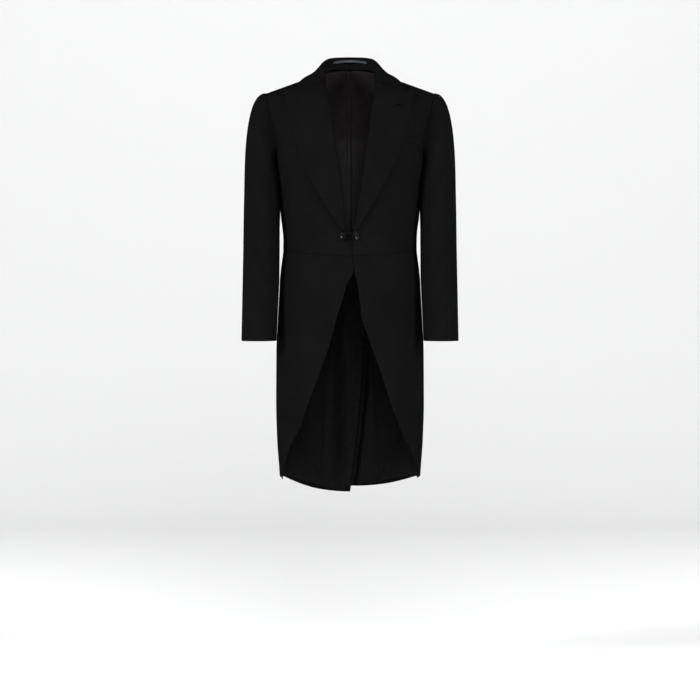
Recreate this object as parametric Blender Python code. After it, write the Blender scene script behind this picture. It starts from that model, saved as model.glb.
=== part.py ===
"""A morning coat in its worn shape: black wool, linked front buttons, peaked lapels and cutaway tails.

Metres. The origin is the back of the neck seam, +X is the wearer's left, the front faces -Y, +Z is up.
The right-hand half of the coat is worked out as one surface, and the panels are pieces of it.
"""

import math

import bpy
import numpy as np
from mathutils import Vector

# Cloth
WOOL = 0.0020
LINING = 0.0010
SEAM = 0.0003
LINING_SLACK = 0.0007
RIBBON = 0.0010

# Heights, down from the back of the neck seam
CHEST_Z = -0.185
ARMHOLE_FOOT_Z = -0.262
SCYE_DEPTH = 0.053
SIDE_Y = -0.085
WAIST_Z = -0.471
WAIST_SIDE_RISE = 0.014
VENT_TOP_Z = -0.490
RISE = 0.17
BACK_WAIST_Z = -0.4555

# Where the left front laps over the right one at the buttons: how far it stands up, and how that fades out
LAP_LIFT = 0.0030
LAP_FULL_X = 0.020
LAP_FADE_X = 0.045
LAP_TOP_Z = -0.335
LAP_TOP_FADE = 0.060
LAP_FOOT_Z = -0.560
LAP_FOOT_FADE = 0.040

# The side pleat, where the tail lies over the skirt, and the vent, where the left tail lies over the right
PLEAT_LIFT = 0.0039
PLEAT_TOP_Z = -0.452
PLEAT_FADE = 0.030
PLEAT_EDGE = 0.024
PLEAT_EDGE_FADE = 0.015
PLEAT_LAP = 0.012
PLEAT_LAP_TOP_Z = -0.508
PLEAT_LAP_FADE = 0.050
VENT_SINK = 0.0052
VENT_SINK_FADE = 0.036
VENT_SINK_X = 0.002
VENT_SINK_FADE_X = 0.045
VENT_UNDERLAP = 0.041
VENT_CURVE = 2.17
VENT_START = 0.004
VENT_TURN = 0.008

# The hem: its height in the middle of the back, how far it rises to the side, and where each front ends
HEM = {"left": (-1.054, 0.034, -1.020), "right": (-1.068, 0.048, -1.026)}
HEM_SIDE_X = 0.175
HEM_POWER = 2.4
PLEAT_FOOT_X = 0.086
SKIRT_FOOT_Z = -1.03

# Neck and shoulder, of one half
NECK_X = 0.078
NECK_Y = -0.062
NECK_Z = -0.0145
NAPE_RISE = 76.0
SHOULDER_X = 0.209
SHOULDER_SLOPE = 0.374
SHOULDER_SWEEP = 0.20
SCYE_FRONT_X = 0.181
SCYE_BACK_X = 0.176

# Buttons
FRONT_BUTTON_Z = -0.4205
FRONT_BUTTON_X = 0.0162
WAIST_BUTTON_Z = -0.462
BUTTON_SIDES = 18
LINK_RADIUS = 0.0006
LINK_SIDES = 8

# The ribbon loop inside the back of the neck, and the welt of the breast pocket
LOOP_HALF = 0.042
LOOP_WIDTH = 0.0055
LOOP_END_Z = 0.0175
LOOP_MIDDLE_Z = 0.0225
LOOP_GAP = 0.0008
LOOP_BOW = 0.0082
LOOP_STEPS = 12
WELT_ENDS = (0.086, 0.1625)
WELT_TOP_Z = -0.1765
WELT_FOOT_Z = -0.1905
WELT_WALL = 0.0013
WELT_GAP = 0.0005
NAPE_Y = -0.003
NAPE_Z = 0.0055
NECK_CURVE = 1.6
FRONT_TURN = -88
FOLD_TURN = 0.002
FOLD_TOP_Z = -0.018
FOLD_TOP_FADE = 0.020
NOTCH_SHARE = 0.80
GORGE_FADE = 0.20
LAPEL_ROLL_WIDTH = 0.055
LAPEL_FOOT_SINK = 0.0018
LAPEL_FOOT_FADE = 0.10
WAIST_BUTTON_INSET = 0.004


def table(columns, *rows):
    """A table whose first column is the place along it."""
    return dict(zip(columns.split(), np.array(rows, float).T))


TORSO = table(
    "z half_width front_depth back_depth squareness",
    (-1.10, 0.1735, 0.126, 0.128, 2.30),
    (-1.02, 0.1750, 0.126, 0.130, 2.30),
    (-0.93, 0.1805, 0.127, 0.134, 2.32),
    (-0.83, 0.1830, 0.128, 0.139, 2.34),
    (-0.705, 0.1830, 0.127, 0.143, 2.36),
    (-0.63, 0.1800, 0.124, 0.142, 2.38),
    (-0.56, 0.1765, 0.119, 0.134, 2.38),
    (-0.505, 0.1728, 0.115, 0.120, 2.38),
    (-0.455, 0.1670, 0.112, 0.109, 2.38),
    (-0.430, 0.1666, 0.112, 0.106, 2.38),
    (-0.405, 0.1686, 0.113, 0.106, 2.38),
    (-0.380, 0.1720, 0.116, 0.109, 2.38),
    (-0.355, 0.1744, 0.119, 0.113, 2.38),
    (-0.330, 0.1764, 0.121, 0.116, 2.38),
    (-0.300, 0.1802, 0.124, 0.121, 2.38),
    (-0.270, 0.1848, 0.127, 0.127, 2.38),
    (-0.238, 0.1888, 0.130, 0.132, 2.40),
    (-0.185, 0.1910, 0.131, 0.136, 2.40),
)
# The armhole edge above the chest, by the share of the rise to the shoulder
SCYE = table(
    "share front_x back_x",
    (0.00, SCYE_FRONT_X, SCYE_BACK_X),
    (0.25, 0.1940, 0.1860),
    (0.50, 0.2030, 0.1960),
    (0.75, 0.2075, 0.2045),
    (1.00, SHOULDER_X, SHOULDER_X),
)
# How quickly a vertical line of the cloth turns over at the top, by its distance from the middle
TURN = table(
    "x power",
    (0.000, 1.00),
    (0.045, 0.92),
    (0.078, 0.62),
    (0.110, 0.50),
    (0.215, 0.50),
)
# The seam from the armhole down the back, and below the waist the side pleat
BACK_SEAM = table(
    "z x",
    (-1.10, 0.0890),
    (-0.80, 0.0740),
    (-0.60, 0.0620),
    (-0.455, 0.0520),
    (-0.400, 0.0620),
    (-0.350, 0.0800),
    (-0.300, 0.1030),
    (-0.260, 0.1260),
    (-0.220, 0.1520),
    (-0.185, SCYE_BACK_X),
)
# The inner edge of each front: lapel fold above the buttons, cut edge below them
FRONT_EDGE = table(
    "z left right",
    (-1.100, 0.1720, 0.1400),
    (-1.025, 0.1700, 0.1400),
    (-1.000, 0.1675, 0.1400),
    (-0.975, 0.1600, 0.1400),
    (-0.942, 0.1480, 0.1390),
    (-0.922, 0.1370, 0.1360),
    (-0.892, 0.1240, 0.1235),
    (-0.845, 0.1055, 0.1075),
    (-0.780, 0.0840, 0.0830),
    (-0.722, 0.0640, 0.0620),
    (-0.693, 0.0530, 0.0520),
    (-0.655, 0.0400, 0.0410),
    (-0.622, 0.0290, 0.0330),
    (-0.580, 0.0240, 0.0190),
    (-0.542, 0.0190, 0.0080),
    (-0.505, 0.0105, -0.0100),
    (-0.471, 0.0070, -0.0150),
    (-0.447, 0.0060, -0.0140),
    (-0.420, 0.0060, -0.0110),
    (-0.4135, 0.0061, -0.0100),
    (-0.4100, 0.0065, 0.0112),
    (-0.405, 0.0075, 0.0117),
    (-0.357, 0.0165, 0.0140),
    (-0.300, 0.0265, 0.0190),
    (-0.256, 0.0325, 0.0240),
    (-0.210, 0.0390, 0.0315),
    (-0.170, 0.0450, 0.0385),
    (-0.109, 0.0530, 0.0480),
    (-0.062, 0.0605, 0.0580),
    (-0.036, 0.0625, 0.0615),
    (-0.020, 0.0680, 0.0680),
    (NECK_Z, NECK_X, NECK_X),
)
# The lapel's outer edge, by the share of the way from the button to the peak
LAPEL_EDGE = table(
    "share left_x left_z right_x right_z",
    (0.00, 0.0150, -0.4090, 0.0195, -0.4090),
    (0.06, 0.0240, -0.3930, 0.0290, -0.3930),
    (0.22, 0.0660, -0.3230, 0.0720, -0.3250),
    (0.44, 0.1110, -0.2390, 0.1110, -0.2500),
    (0.52, 0.1215, -0.2140, 0.1240, -0.2190),
    (0.62, 0.1310, -0.1860, 0.1375, -0.1830),
    (0.70, 0.1395, -0.1610, 0.1445, -0.1590),
    (0.80, 0.1455, -0.1290, 0.1510, -0.1290),
    (0.88, 0.1510, -0.1100, 0.1545, -0.1050),
    (0.96, 0.1560, -0.0770, 0.1580, -0.0740),
    (1.00, 0.1575, -0.0600, 0.1580, -0.0600),
)
LAPEL_FOOT_Z = -0.409
UNDERLAP_TOP_Z = -0.413
GORGE_FOOT_Z = -0.038
NOTCH = (0.1340, -0.0665)
# Across a lapel from its fold: share of the width, and how far the face stands off the forepart
LAPEL_SECTION = table(
    "column share lift",
    (0, 0.000, -0.0020),
    (1, 0.000, 0.0016),
    (2, 0.045, 0.0062),
    (3, 0.150, 0.0078),
    (4, 0.380, 0.0064),
    (5, 0.600, 0.0054),
    (6, 0.800, 0.0049),
    (7, 1.000, 0.0046),
)
LAPEL_WALL = 0.0022
COLLAR_WALL = 0.0020
FOREPART_SETBACK = 0.0030

# The collar, from the gorge round to the middle of the back
COLLAR_FOLD = table(
    "share x y z",
    (0.00, 0.0615, -0.1420, -0.0340),
    (0.15, 0.0622, -0.1220, -0.0170),
    (0.35, 0.0640, -0.0920, 0.0020),
    (0.55, 0.0655, -0.0620, 0.0150),
    (0.72, 0.0590, -0.0310, 0.0260),
    (0.86, 0.0370, -0.0080, 0.0322),
    (1.00, 0.0000, 0.0010, 0.0340),
)
COLLAR_EDGE = table(
    "share x rise behind",
    (0.00, 0.1340, 52.0, 0),
    (0.10, 0.1285, 64.0, 0),
    (0.30, 0.1150, 78.0, 0),
    (0.48, 0.1060, 90.0, 0),
    (0.66, 0.0980, 77.0, 1),
    (0.84, 0.0560, 65.0, 1),
    (1.00, 0.0000, 62.0, 1),
)
COLLAR_BASE = table(
    "share x rise behind",
    (0.00, 0.0620, 52.0, 0),
    (0.20, 0.0632, 68.0, 0),
    (0.45, 0.0765, 90.0, 0),
    (0.60, 0.0640, 87.4, 1),
    (0.80, 0.0320, 80.4, 1),
    (1.00, 0.0000, 76.6, 1),
)

# The sleeve below the arm, level by level
SLEEVE = table(
    "z inner_x outer_x middle_y half_depth",
    (-0.680, 0.1820, 0.2690, -0.152, 0.0460),
    (-0.600, 0.1785, 0.2680, -0.136, 0.0490),
    (-0.520, 0.1755, 0.2670, -0.121, 0.0530),
    (-0.450, 0.1752, 0.2660, -0.112, 0.0570),
    (-0.400, 0.1750, 0.2655, -0.108, 0.0600),
    (-0.355, 0.1741, 0.2650, -0.105, 0.0640),
    (-0.330, 0.1761, 0.2645, -0.104, 0.0660),
    (-0.300, 0.1801, 0.2640, -0.101, 0.0678),
    (-0.275, 0.1847, 0.2637, -0.098, 0.0690),
)
BICEP_Z = -0.275
CUFF_Z = -0.680
SCYE_MIDDLE = (-0.080, -0.150)

# The crown of the sleeve: how far it stands out from the armhole, and how straight it then hangs
ARM_SQUARENESS = 2.15
CAP_PUSH = 0.66
CAP_DROP = 1.30
CAP_ROPE = 0.20
# Which lines of the sleeve, counted round from the shoulder over the front, are its two seams
FRONT_SEAM_AT = 8
HIND_SEAM_AT = 18

# A button's profile, from its shank out to the rim and into the dished face
BUTTON = table(
    "step radius height",
    (0, 0.0024, 0.0004),
    (1, 0.0024, 0.0022),
    (2, 0.0078, 0.0022),
    (3, 0.0097, 0.0032),
    (4, 0.0098, 0.0046),
    (5, 0.0090, 0.0056),
    (6, 0.0076, 0.0054),
    (7, 0.0060, 0.0046),
)
# The link's thread, from one button's shank over the lapped edges to the other
LINK_PATH = table(
    "x lift side",
    (-0.0133, 0.0013, -1),
    (-0.0060, 0.0013, -1),
    (0.0010, 0.0018, -1),
    (0.0050, 0.0043, -1),
    (0.0090, 0.0013, 1),
    (0.0133, 0.0013, 1),
)

# Name, linear colour and roughness of each material
BLACK_WOOL = ("black_wool", (0.0070, 0.0070, 0.0080), 0.85)
SATIN = ("lining_satin", (0.0110, 0.0100, 0.0105), 0.45)
RIBBON_SATIN = ("loop_ribbon", (0.0900, 0.0980, 0.1200), 0.50)
HORN = ("black_horn", (0.0080, 0.0080, 0.0090), 0.35)

# How many steps a panel takes along and across
EDGE_STEPS = 10
SCYE_UP_STEPS = 7
SCYE_LOW_STEPS = 4
SIDE_STEPS = 9
LAP_STEPS = 3
SIDEBODY_STEPS = 6
TAIL_STEPS = 12
NECK_STEPS = 3
SHOULDER_STEPS = 5
CAP_STEPS = 8
ARM_STEPS = 10
LAPEL_STEPS = 16
WELT_STEPS = 8
# Places across the collar's stand and fall, and from its end round to the middle of the back
STAND_AT = (0.0, 0.45, 0.80, 0.93, 1.0)
FALL_AT = (0.20, 0.48, 0.75, 1.0)
COLLAR_SHARES = (
    0, 0.06, 0.12, 0.19, 0.26, 0.33, 0.40, 0.47, 0.54,
    0.61, 0.68, 0.74, 0.80, 0.86, 0.91, 0.955, 1,
)


def along(rows, column, at):
    """A column of a table, by a monotone cubic through its rows."""
    names = list(rows)
    place = rows[names[0]]
    value = rows[column]
    step = np.diff(place)
    slope = np.diff(value) / step
    tangent = np.zeros(len(place))
    before, after = slope[:-1], slope[1:]
    same = before * after > 0
    tangent[1:-1][same] = 2 * before[same] * after[same] / (before[same] + after[same])
    tangent[0], tangent[-1] = slope[0], slope[-1]
    at = np.clip(np.asarray(at, float), place[0], place[-1])
    i = np.clip(np.searchsorted(place, at) - 1, 0, len(step) - 1)
    t = (at - place[i]) / step[i]
    rest = 1 - t
    return (
        value[i] * (1 + 2 * t) * rest**2
        + value[i + 1] * (3 - 2 * t) * t**2
        + step[i] * (tangent[i] * t * rest**2 - tangent[i + 1] * t**2 * rest)
    )


def ease(value):
    """0 below 0, 1 above 1 and smooth between."""
    value = np.clip(value, 0, 1)
    return value * value * (3 - 2 * value)


def unit(vectors):
    return vectors / np.maximum(np.linalg.norm(vectors, axis=-1, keepdims=True), 1e-12)


def top_line(x):
    """The line that the shoulder seam runs along, carried in over the neck: its y and z."""
    out = np.abs(x)
    t = np.clip(out / NECK_X, 0, 1)
    bend = t * t * (3 - 2 * t)
    lean = t * t * (t - 1) * NECK_X
    y_in = NAPE_Y + (NECK_Y - NAPE_Y) * bend - SHOULDER_SWEEP * lean
    z_in = NAPE_Z + (NECK_Z - NAPE_Z) * bend - SHOULDER_SLOPE * lean
    beyond = out - NECK_X
    y = np.where(beyond > 0, NECK_Y - SHOULDER_SWEEP * beyond, y_in)
    z = np.where(beyond > 0, NECK_Z - SHOULDER_SLOPE * beyond, z_in)
    return y, z


def coat(angle, level):
    """A point of the cloth's face. The angle goes from -90 at the front to 90 at the back. The level is the
    height up to the chest, and above it the rise from 0 to 90 degrees over the shoulder, scaled to RISE."""
    angle, level = np.broadcast_arrays(np.asarray(angle, float), np.asarray(level, float))
    low = np.minimum(level, CHEST_Z)
    power = along(TORSO, "squareness", low)
    across, deep = np.cos(np.radians(angle)), np.sin(np.radians(angle))
    size = (np.abs(across) ** power + np.abs(deep) ** power) ** (1 / power)
    behind = deep > 0
    depth = np.where(behind, along(TORSO, "back_depth", low), along(TORSO, "front_depth", low))
    x = along(TORSO, "half_width", low) * across / size
    y = SIDE_Y + depth * deep / size
    share = np.clip((level - CHEST_Z) / RISE, 0, 1)
    rise = share * math.pi / 2
    reach = x / np.where(behind, SCYE_BACK_X, SCYE_FRONT_X)
    edge_x = np.where(behind, along(SCYE, "back_x", share), along(SCYE, "front_x", share))
    top_y, top_z = top_line(reach * SHOULDER_X)
    turn = np.cos(rise) ** (2 * along(TURN, "power", np.abs(reach) * SHOULDER_X))
    high = share > 0
    return np.stack(
        [
            np.where(high, reach * edge_x, x),
            np.where(high, top_y + (y - top_y) * turn, y),
            np.where(high, CHEST_Z + (top_z - CHEST_Z) * np.sin(rise), low),
        ],
        axis=-1,
    )


def facing(angle, level):
    """The outward direction of the cloth's face."""
    level = np.minimum(level, CHEST_Z + RISE * 0.998)
    turn, lift = 0.05, 0.0002
    sideways = coat(angle + turn, level) - coat(angle - turn, level)
    upward = coat(angle, level + lift) - coat(angle, level - lift)
    return unit(np.cross(sideways, upward))


def angle_at(x, level, behind):
    """The angle at which the cloth reaches a distance from the middle, at a level."""
    x = np.asarray(x, float)
    level = np.asarray(level, float)
    share = np.clip((level - CHEST_Z) / RISE, 0, 1)
    scye = (SCYE_BACK_X, "back_x") if behind else (SCYE_FRONT_X, "front_x")
    x = np.where(share > 0, x * scye[0] / along(SCYE, scye[1], share), x)
    low = np.minimum(level, CHEST_Z)
    power = along(TORSO, "squareness", low)
    out = np.maximum(np.abs(x), 1e-5)
    ratio = np.maximum(along(TORSO, "half_width", low) / out, 1.0)
    angle = np.degrees(np.arctan((ratio**power - 1) ** (1 / power)))
    angle = np.where(x < 0, 180 - angle, angle)
    return angle if behind else -angle


def place_at(x, z, behind=False):
    """The angle and level of the cloth's point at a distance from the middle and a height."""
    x, z = np.broadcast_arrays(np.asarray(x, float), np.asarray(z, float))
    scye = (SCYE_BACK_X, "back_x") if behind else (SCYE_FRONT_X, "front_x")
    share = np.full(x.shape, 0.5)
    for _ in range(40):
        top = top_line(x / along(SCYE, scye[1], share) * SHOULDER_X)[1]
        rise = np.arcsin(np.clip((z - CHEST_Z) / (top - CHEST_Z), 0, 1))
        share = 0.5 * share + 0.5 * rise / (math.pi / 2)
    level = np.where(z > CHEST_Z, CHEST_Z + RISE * share, z)
    return angle_at(x, level, behind), level


SCYE_FRONT = float(angle_at(SCYE_FRONT_X, CHEST_Z, False))
SCYE_BACK = float(angle_at(SCYE_BACK_X, CHEST_Z, True))
SIDE_SEAM = -8.0


def scye_low(angle):
    """The height of the armhole's lower curve."""
    middle, half = (SCYE_FRONT + SCYE_BACK) / 2, (SCYE_BACK - SCYE_FRONT) / 2
    t = np.clip(np.abs((angle - middle) / half), 0, 1)
    return CHEST_Z - SCYE_DEPTH * (1 - t**2.2) ** (1 / 2.2)


def waist_z(angle):
    return WAIST_Z + WAIST_SIDE_RISE * np.abs(np.cos(np.radians(angle))) ** 1.5


def line(*parts):
    """Boundary points from parts, each without its first point but the first."""
    return np.concatenate([parts[0]] + [part[1:] for part in parts[1:]])


def patch(left, right, bottom, top):
    """Rows of points filling four edges that meet at the corners."""
    left, right, bottom, top = (np.asarray(e, float) for e in (left, right, bottom, top))
    up = np.linspace(0, 1, len(left))[:, None, None]
    over = np.linspace(0, 1, len(bottom))[None, :, None]
    ruled = (1 - over) * left[:, None] + over * right[:, None]
    ruled = ruled + (1 - up) * bottom[None] + up * top[None]
    corners = (1 - up) * ((1 - over) * bottom[0] + over * bottom[-1])
    return ruled - corners - up * ((1 - over) * top[0] + over * top[-1])


def pair(angle, level):
    angle, level = np.broadcast_arrays(np.asarray(angle, float), np.asarray(level, float))
    return np.stack([angle, level], axis=-1)


def grid_facing(grid):
    """The direction that a grid of points faces, from its own neighbours."""
    down = np.gradient(grid, axis=0)
    over = np.gradient(grid, axis=1)
    return unit(np.cross(over, down))


def drawn_in(grid, amount=SEAM / 2):
    """A grid with its four edges drawn in by half a seam."""
    grid = grid.copy()
    grid[0] += unit(grid[1] - grid[0]) * amount
    grid[-1] += unit(grid[-2] - grid[-1]) * amount
    grid[:, 0] += unit(grid[:, 1] - grid[:, 0]) * amount
    grid[:, -1] += unit(grid[:, -2] - grid[:, -1]) * amount
    return grid


def material(name, colour, roughness):
    made = bpy.data.materials.new(name)
    made.use_nodes = True
    shader = made.node_tree.nodes["Principled BSDF"]
    shader.inputs["Base Color"].default_value = (*colour, 1)
    shader.inputs["Roughness"].default_value = roughness
    shader.inputs["Metallic"].default_value = 0
    made.diffuse_color = (*colour, 1)
    return made


def add(name, points, faces, look):
    """A piece of the coat with a material of its own, held by the coat's empty."""
    mesh = bpy.data.meshes.new(name)
    mesh.from_pydata([tuple(p) for p in points], [], faces)
    corners = np.array(points)
    volume = 0.0
    for face in faces:
        for i in range(1, len(face) - 1):
            a, b, c = corners[face[0]], corners[face[i]], corners[face[i + 1]]
            volume += float(np.dot(a, np.cross(b, c)))
    if volume < 0:
        mesh.flip_normals()
    cloth, colour, roughness = look
    mesh.materials.append(material(f"{cloth}_of_{name}", colour, roughness))
    piece = bpy.data.objects.new(name, mesh)
    COLLECTION.objects.link(piece)
    piece.parent = HELD
    return piece


def wall(name, outer, inner, look):
    """A closed wall between two grids of the same size."""
    rows, columns = outer.shape[:2]
    points = np.concatenate([outer.reshape(-1, 3), inner.reshape(-1, 3)])
    count = rows * columns
    faces = []
    for r in range(rows - 1):
        for c in range(columns - 1):
            a = r * columns + c
            quad = (a, a + 1, a + columns + 1, a + columns)
            faces.append(quad)
            faces.append(tuple(count + i for i in (quad[0], *quad[:0:-1])))
    ring = [c for c in range(columns)]
    ring += [r * columns + columns - 1 for r in range(1, rows)]
    ring += [(rows - 1) * columns + c for c in range(columns - 2, -1, -1)]
    ring += [r * columns for r in range(rows - 2, 0, -1)]
    for a, b in zip(ring, ring[1:] + ring[:1]):
        faces.append((b, a, count + a, count + b))
    return add(name, points, faces, look)


def mirrored(grid, side):
    return grid * np.array([side, 1, 1])


def front_lift(side, x, z):
    """How far the upper front stands over the lower one where they lap."""
    if side < 0:
        return np.zeros(np.shape(z))
    near = 1 - ease((np.abs(x) - LAP_FULL_X) / LAP_FADE_X)
    down = ease((LAP_TOP_Z - z) / LAP_TOP_FADE) * ease((z - LAP_FOOT_Z) / LAP_FOOT_FADE)
    return LAP_LIFT * near * down


def pleat_lift(z):
    """How far the edge of the tail stands over the skirt at the side pleat."""
    return PLEAT_LIFT * ease((PLEAT_TOP_Z - z) / PLEAT_FADE)


def pleat_lap(z):
    """How far the tail laps over the skirt at the side pleat."""
    return PLEAT_LAP * ease((PLEAT_LAP_TOP_Z - z) / PLEAT_LAP_FADE)


def vent_sink(side, x, z):
    """How far the right tail lies under the left one at the middle of the back."""
    if side > 0:
        return np.zeros(np.shape(z))
    near = 1 - ease((x - VENT_SINK_X) / VENT_SINK_FADE_X)
    return VENT_SINK * ease((PLEAT_TOP_Z - z) / VENT_SINK_FADE) * near


def panel(name, side, chart, look=BLACK_WOOL, lift=None, inside=0.0, thick=WOOL):
    """A wall of the coat's cloth over a grid of angles and levels."""
    face = coat(chart[..., 0], chart[..., 1])
    out = facing(chart[..., 0], chart[..., 1])
    off = np.zeros(face.shape[:2]) if lift is None else lift(face[..., 0], face[..., 2])
    outer = face + out * (off - inside)[..., None]
    inner = outer - out * thick
    return wall(name, mirrored(drawn_in(outer), side), mirrored(drawn_in(inner), side), look)


def steps(start, end, count):
    return np.linspace(start, end, count + 1)


def side_levels():
    return steps(float(waist_z(SIDE_SEAM)), float(scye_low(SIDE_SEAM)), SIDE_STEPS)


def low_scye_front():
    t = steps(0, 1, SCYE_LOW_STEPS)
    angle = SIDE_SEAM + (SCYE_FRONT - SIDE_SEAM) * np.sin(t * math.pi / 2) ** 0.9
    return pair(angle, scye_low(angle))


def low_scye_back():
    t = steps(0, 1, SIDEBODY_STEPS)
    angle = SIDE_SEAM + (SCYE_BACK - SIDE_SEAM) * np.sin(t * math.pi / 2) ** 0.95
    return pair(angle, scye_low(angle))


def rise_levels(count):
    return CHEST_Z + RISE * steps(0, 1, count)


def forepart_chart(side):
    """The places of a front, from its folded edge round to the side seam."""
    column = "left" if side > 0 else "right"
    right = line(
        pair(SIDE_SEAM, side_levels()),
        low_scye_front(),
        pair(SCYE_FRONT, rise_levels(SCYE_UP_STEPS)),
    )
    heights = line(
        steps(float(waist_z(FRONT_TURN)), UNDERLAP_TOP_Z, LAP_STEPS),
        (0, *steps(LAPEL_FOOT_Z - SEAM, ARMHOLE_FOOT_Z, SIDE_STEPS - LAP_STEPS - 1)),
        steps(ARMHOLE_FOOT_Z, CHEST_Z, SCYE_LOW_STEPS),
        CHEST_Z + (NECK_Z - CHEST_Z) * np.sin(np.radians(90) * steps(0, 1, SCYE_UP_STEPS)),
    )
    turned = ease((heights - UNDERLAP_TOP_Z) / FOLD_TURN) * ease((FOLD_TOP_Z - heights) / FOLD_TOP_FADE)
    setback = FOREPART_SETBACK * turned
    x = along(FRONT_EDGE, column, heights) + setback
    angle, level = place_at(x, heights)
    left = pair(angle, level)
    left[-1] = (angle_at(NECK_X, CHEST_Z + RISE, False), CHEST_Z + RISE)
    over = steps(0, 1, EDGE_STEPS)
    bottom_angle = left[0, 0] + (SIDE_SEAM - left[0, 0]) * over
    bottom = pair(bottom_angle, waist_z(bottom_angle))
    left[0] = bottom[0]
    top_x = NECK_X + (SHOULDER_X - NECK_X) * over
    top = pair(angle_at(top_x, CHEST_Z + RISE, False), CHEST_Z + RISE)
    return patch(left, right, bottom, top)


def sidebody_chart():
    """The places of the panel under the arm."""
    left = pair(SIDE_SEAM, side_levels())
    right_z = steps(BACK_WAIST_Z, CHEST_Z, SIDE_STEPS)
    right = pair(angle_at(along(BACK_SEAM, "x", right_z), right_z, True), right_z)
    over = steps(0, 1, SIDEBODY_STEPS)
    bottom_angle = SIDE_SEAM + (right[0, 0] - SIDE_SEAM) * over
    level = waist_z(bottom_angle)
    level = level + (right_z[0] - level[-1]) * over
    return patch(left, right, pair(bottom_angle, level), low_scye_back())


def hem_z(x, side):
    """The height of the hem, which rises towards the sides; the right tail hangs a little lower."""
    middle, rise, _ = HEM["left" if side > 0 else "right"]
    return middle + rise * (np.abs(x) / HEM_SIDE_X) ** HEM_POWER


def back_chart(side):
    """The places of a back and its tail, from the middle out to the armhole and the side pleat."""
    hem = float(hem_z(PLEAT_FOOT_X, side))
    seam_z = line(steps(hem, BACK_WAIST_Z, TAIL_STEPS), steps(BACK_WAIST_Z, CHEST_Z, SIDE_STEPS))
    x = along(BACK_SEAM, "x", seam_z) + pleat_lap(seam_z)
    right = line(
        pair(angle_at(x, seam_z, True), seam_z),
        pair(SCYE_BACK, rise_levels(SCYE_UP_STEPS)),
    )
    middle_z = line(
        steps(float(hem_z(0, side)), VENT_TOP_Z, TAIL_STEPS),
        steps(VENT_TOP_Z, CHEST_Z, SIDE_STEPS),
        CHEST_Z + RISE * NAPE_RISE / 90 * steps(0, 1, SCYE_UP_STEPS),
    )
    under = np.zeros(len(middle_z))
    if side < 0:
        start = VENT_TOP_Z - VENT_START
        drop = np.clip((VENT_TOP_Z - middle_z) / (VENT_TOP_Z - float(hem_z(0, side))), 0, 1)
        under = -VENT_UNDERLAP * ease((start - middle_z) / VENT_TURN) * (1 - drop**VENT_CURVE)
        under = np.where(middle_z >= start, 0, under)
    left = pair(angle_at(under, middle_z, True), middle_z)
    left[:, 0] = np.where(under == 0, 90.0, left[:, 0])
    neck_x = NECK_X * steps(0, 1, NECK_STEPS)
    shoulder_x = NECK_X + (SHOULDER_X - NECK_X) * steps(0, 1, SHOULDER_STEPS)
    top_x = line(neck_x, shoulder_x)
    rise = NAPE_RISE + (90 - NAPE_RISE) * np.clip(top_x / NECK_X, 0, 1) ** NECK_CURVE
    top = pair(angle_at(top_x, CHEST_Z + RISE, True), CHEST_Z + RISE * rise / 90)
    top[0, 0] = 90.0
    columns = len(top_x)
    over = np.linspace(0, 1, columns)
    bottom_angle = left[0, 0] + (right[0, 0] - left[0, 0]) * over
    bottom_x = coat(bottom_angle, hem)[..., 0]
    bottom = pair(bottom_angle, hem_z(bottom_x, side))
    left[0], right[0] = bottom[0], bottom[-1]
    return patch(left, right, bottom, top)


def skirt_chart(side):
    """The places of a skirt, from the cut-away front edge round to the side pleat."""
    column = "left" if side > 0 else "right"
    hem_front = HEM[column][2]
    front_z = steps(float(waist_z(FRONT_TURN)), hem_front, TAIL_STEPS)
    front_x = along(FRONT_EDGE, column, front_z)
    left = pair(angle_at(front_x, front_z, False), front_z)
    back_z = steps(BACK_WAIST_Z, float(hem_z(PLEAT_FOOT_X, side)), TAIL_STEPS)
    right = pair(angle_at(along(BACK_SEAM, "x", back_z), back_z, True), back_z)
    over = steps(0, 1, EDGE_STEPS + SIDEBODY_STEPS)
    fore = steps(left[0, 0], SIDE_SEAM, EDGE_STEPS)
    aft = steps(SIDE_SEAM, right[0, 0], SIDEBODY_STEPS)
    top_angle = line(fore, aft)
    top_level = waist_z(top_angle)
    late = np.clip((top_angle - SIDE_SEAM) / (right[0, 0] - SIDE_SEAM), 0, 1)
    top_level = top_level + (back_z[0] - top_level[-1]) * late
    bottom_angle = left[-1, 0] + (right[-1, 0] - left[-1, 0]) * over
    bottom_x = coat(bottom_angle, SKIRT_FOOT_Z)[..., 0]
    bottom = pair(bottom_angle, hem_z(bottom_x, side))
    bottom[0, 1] = left[-1, 1]
    left[0], right[0] = (top_angle[0], top_level[0]), (top_angle[-1], top_level[-1])
    left[-1], right[-1] = bottom[0], bottom[-1]
    return patch(left, right, pair(top_angle, top_level), bottom)


def laid(x, z, lift, side):
    """Points over the forepart at a distance from the middle and a height, raised."""
    angle, level = place_at(x, z)
    out = facing(angle, level)
    return coat(angle, level) + out * (lift + front_lift(side, x, z))[..., None]


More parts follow.
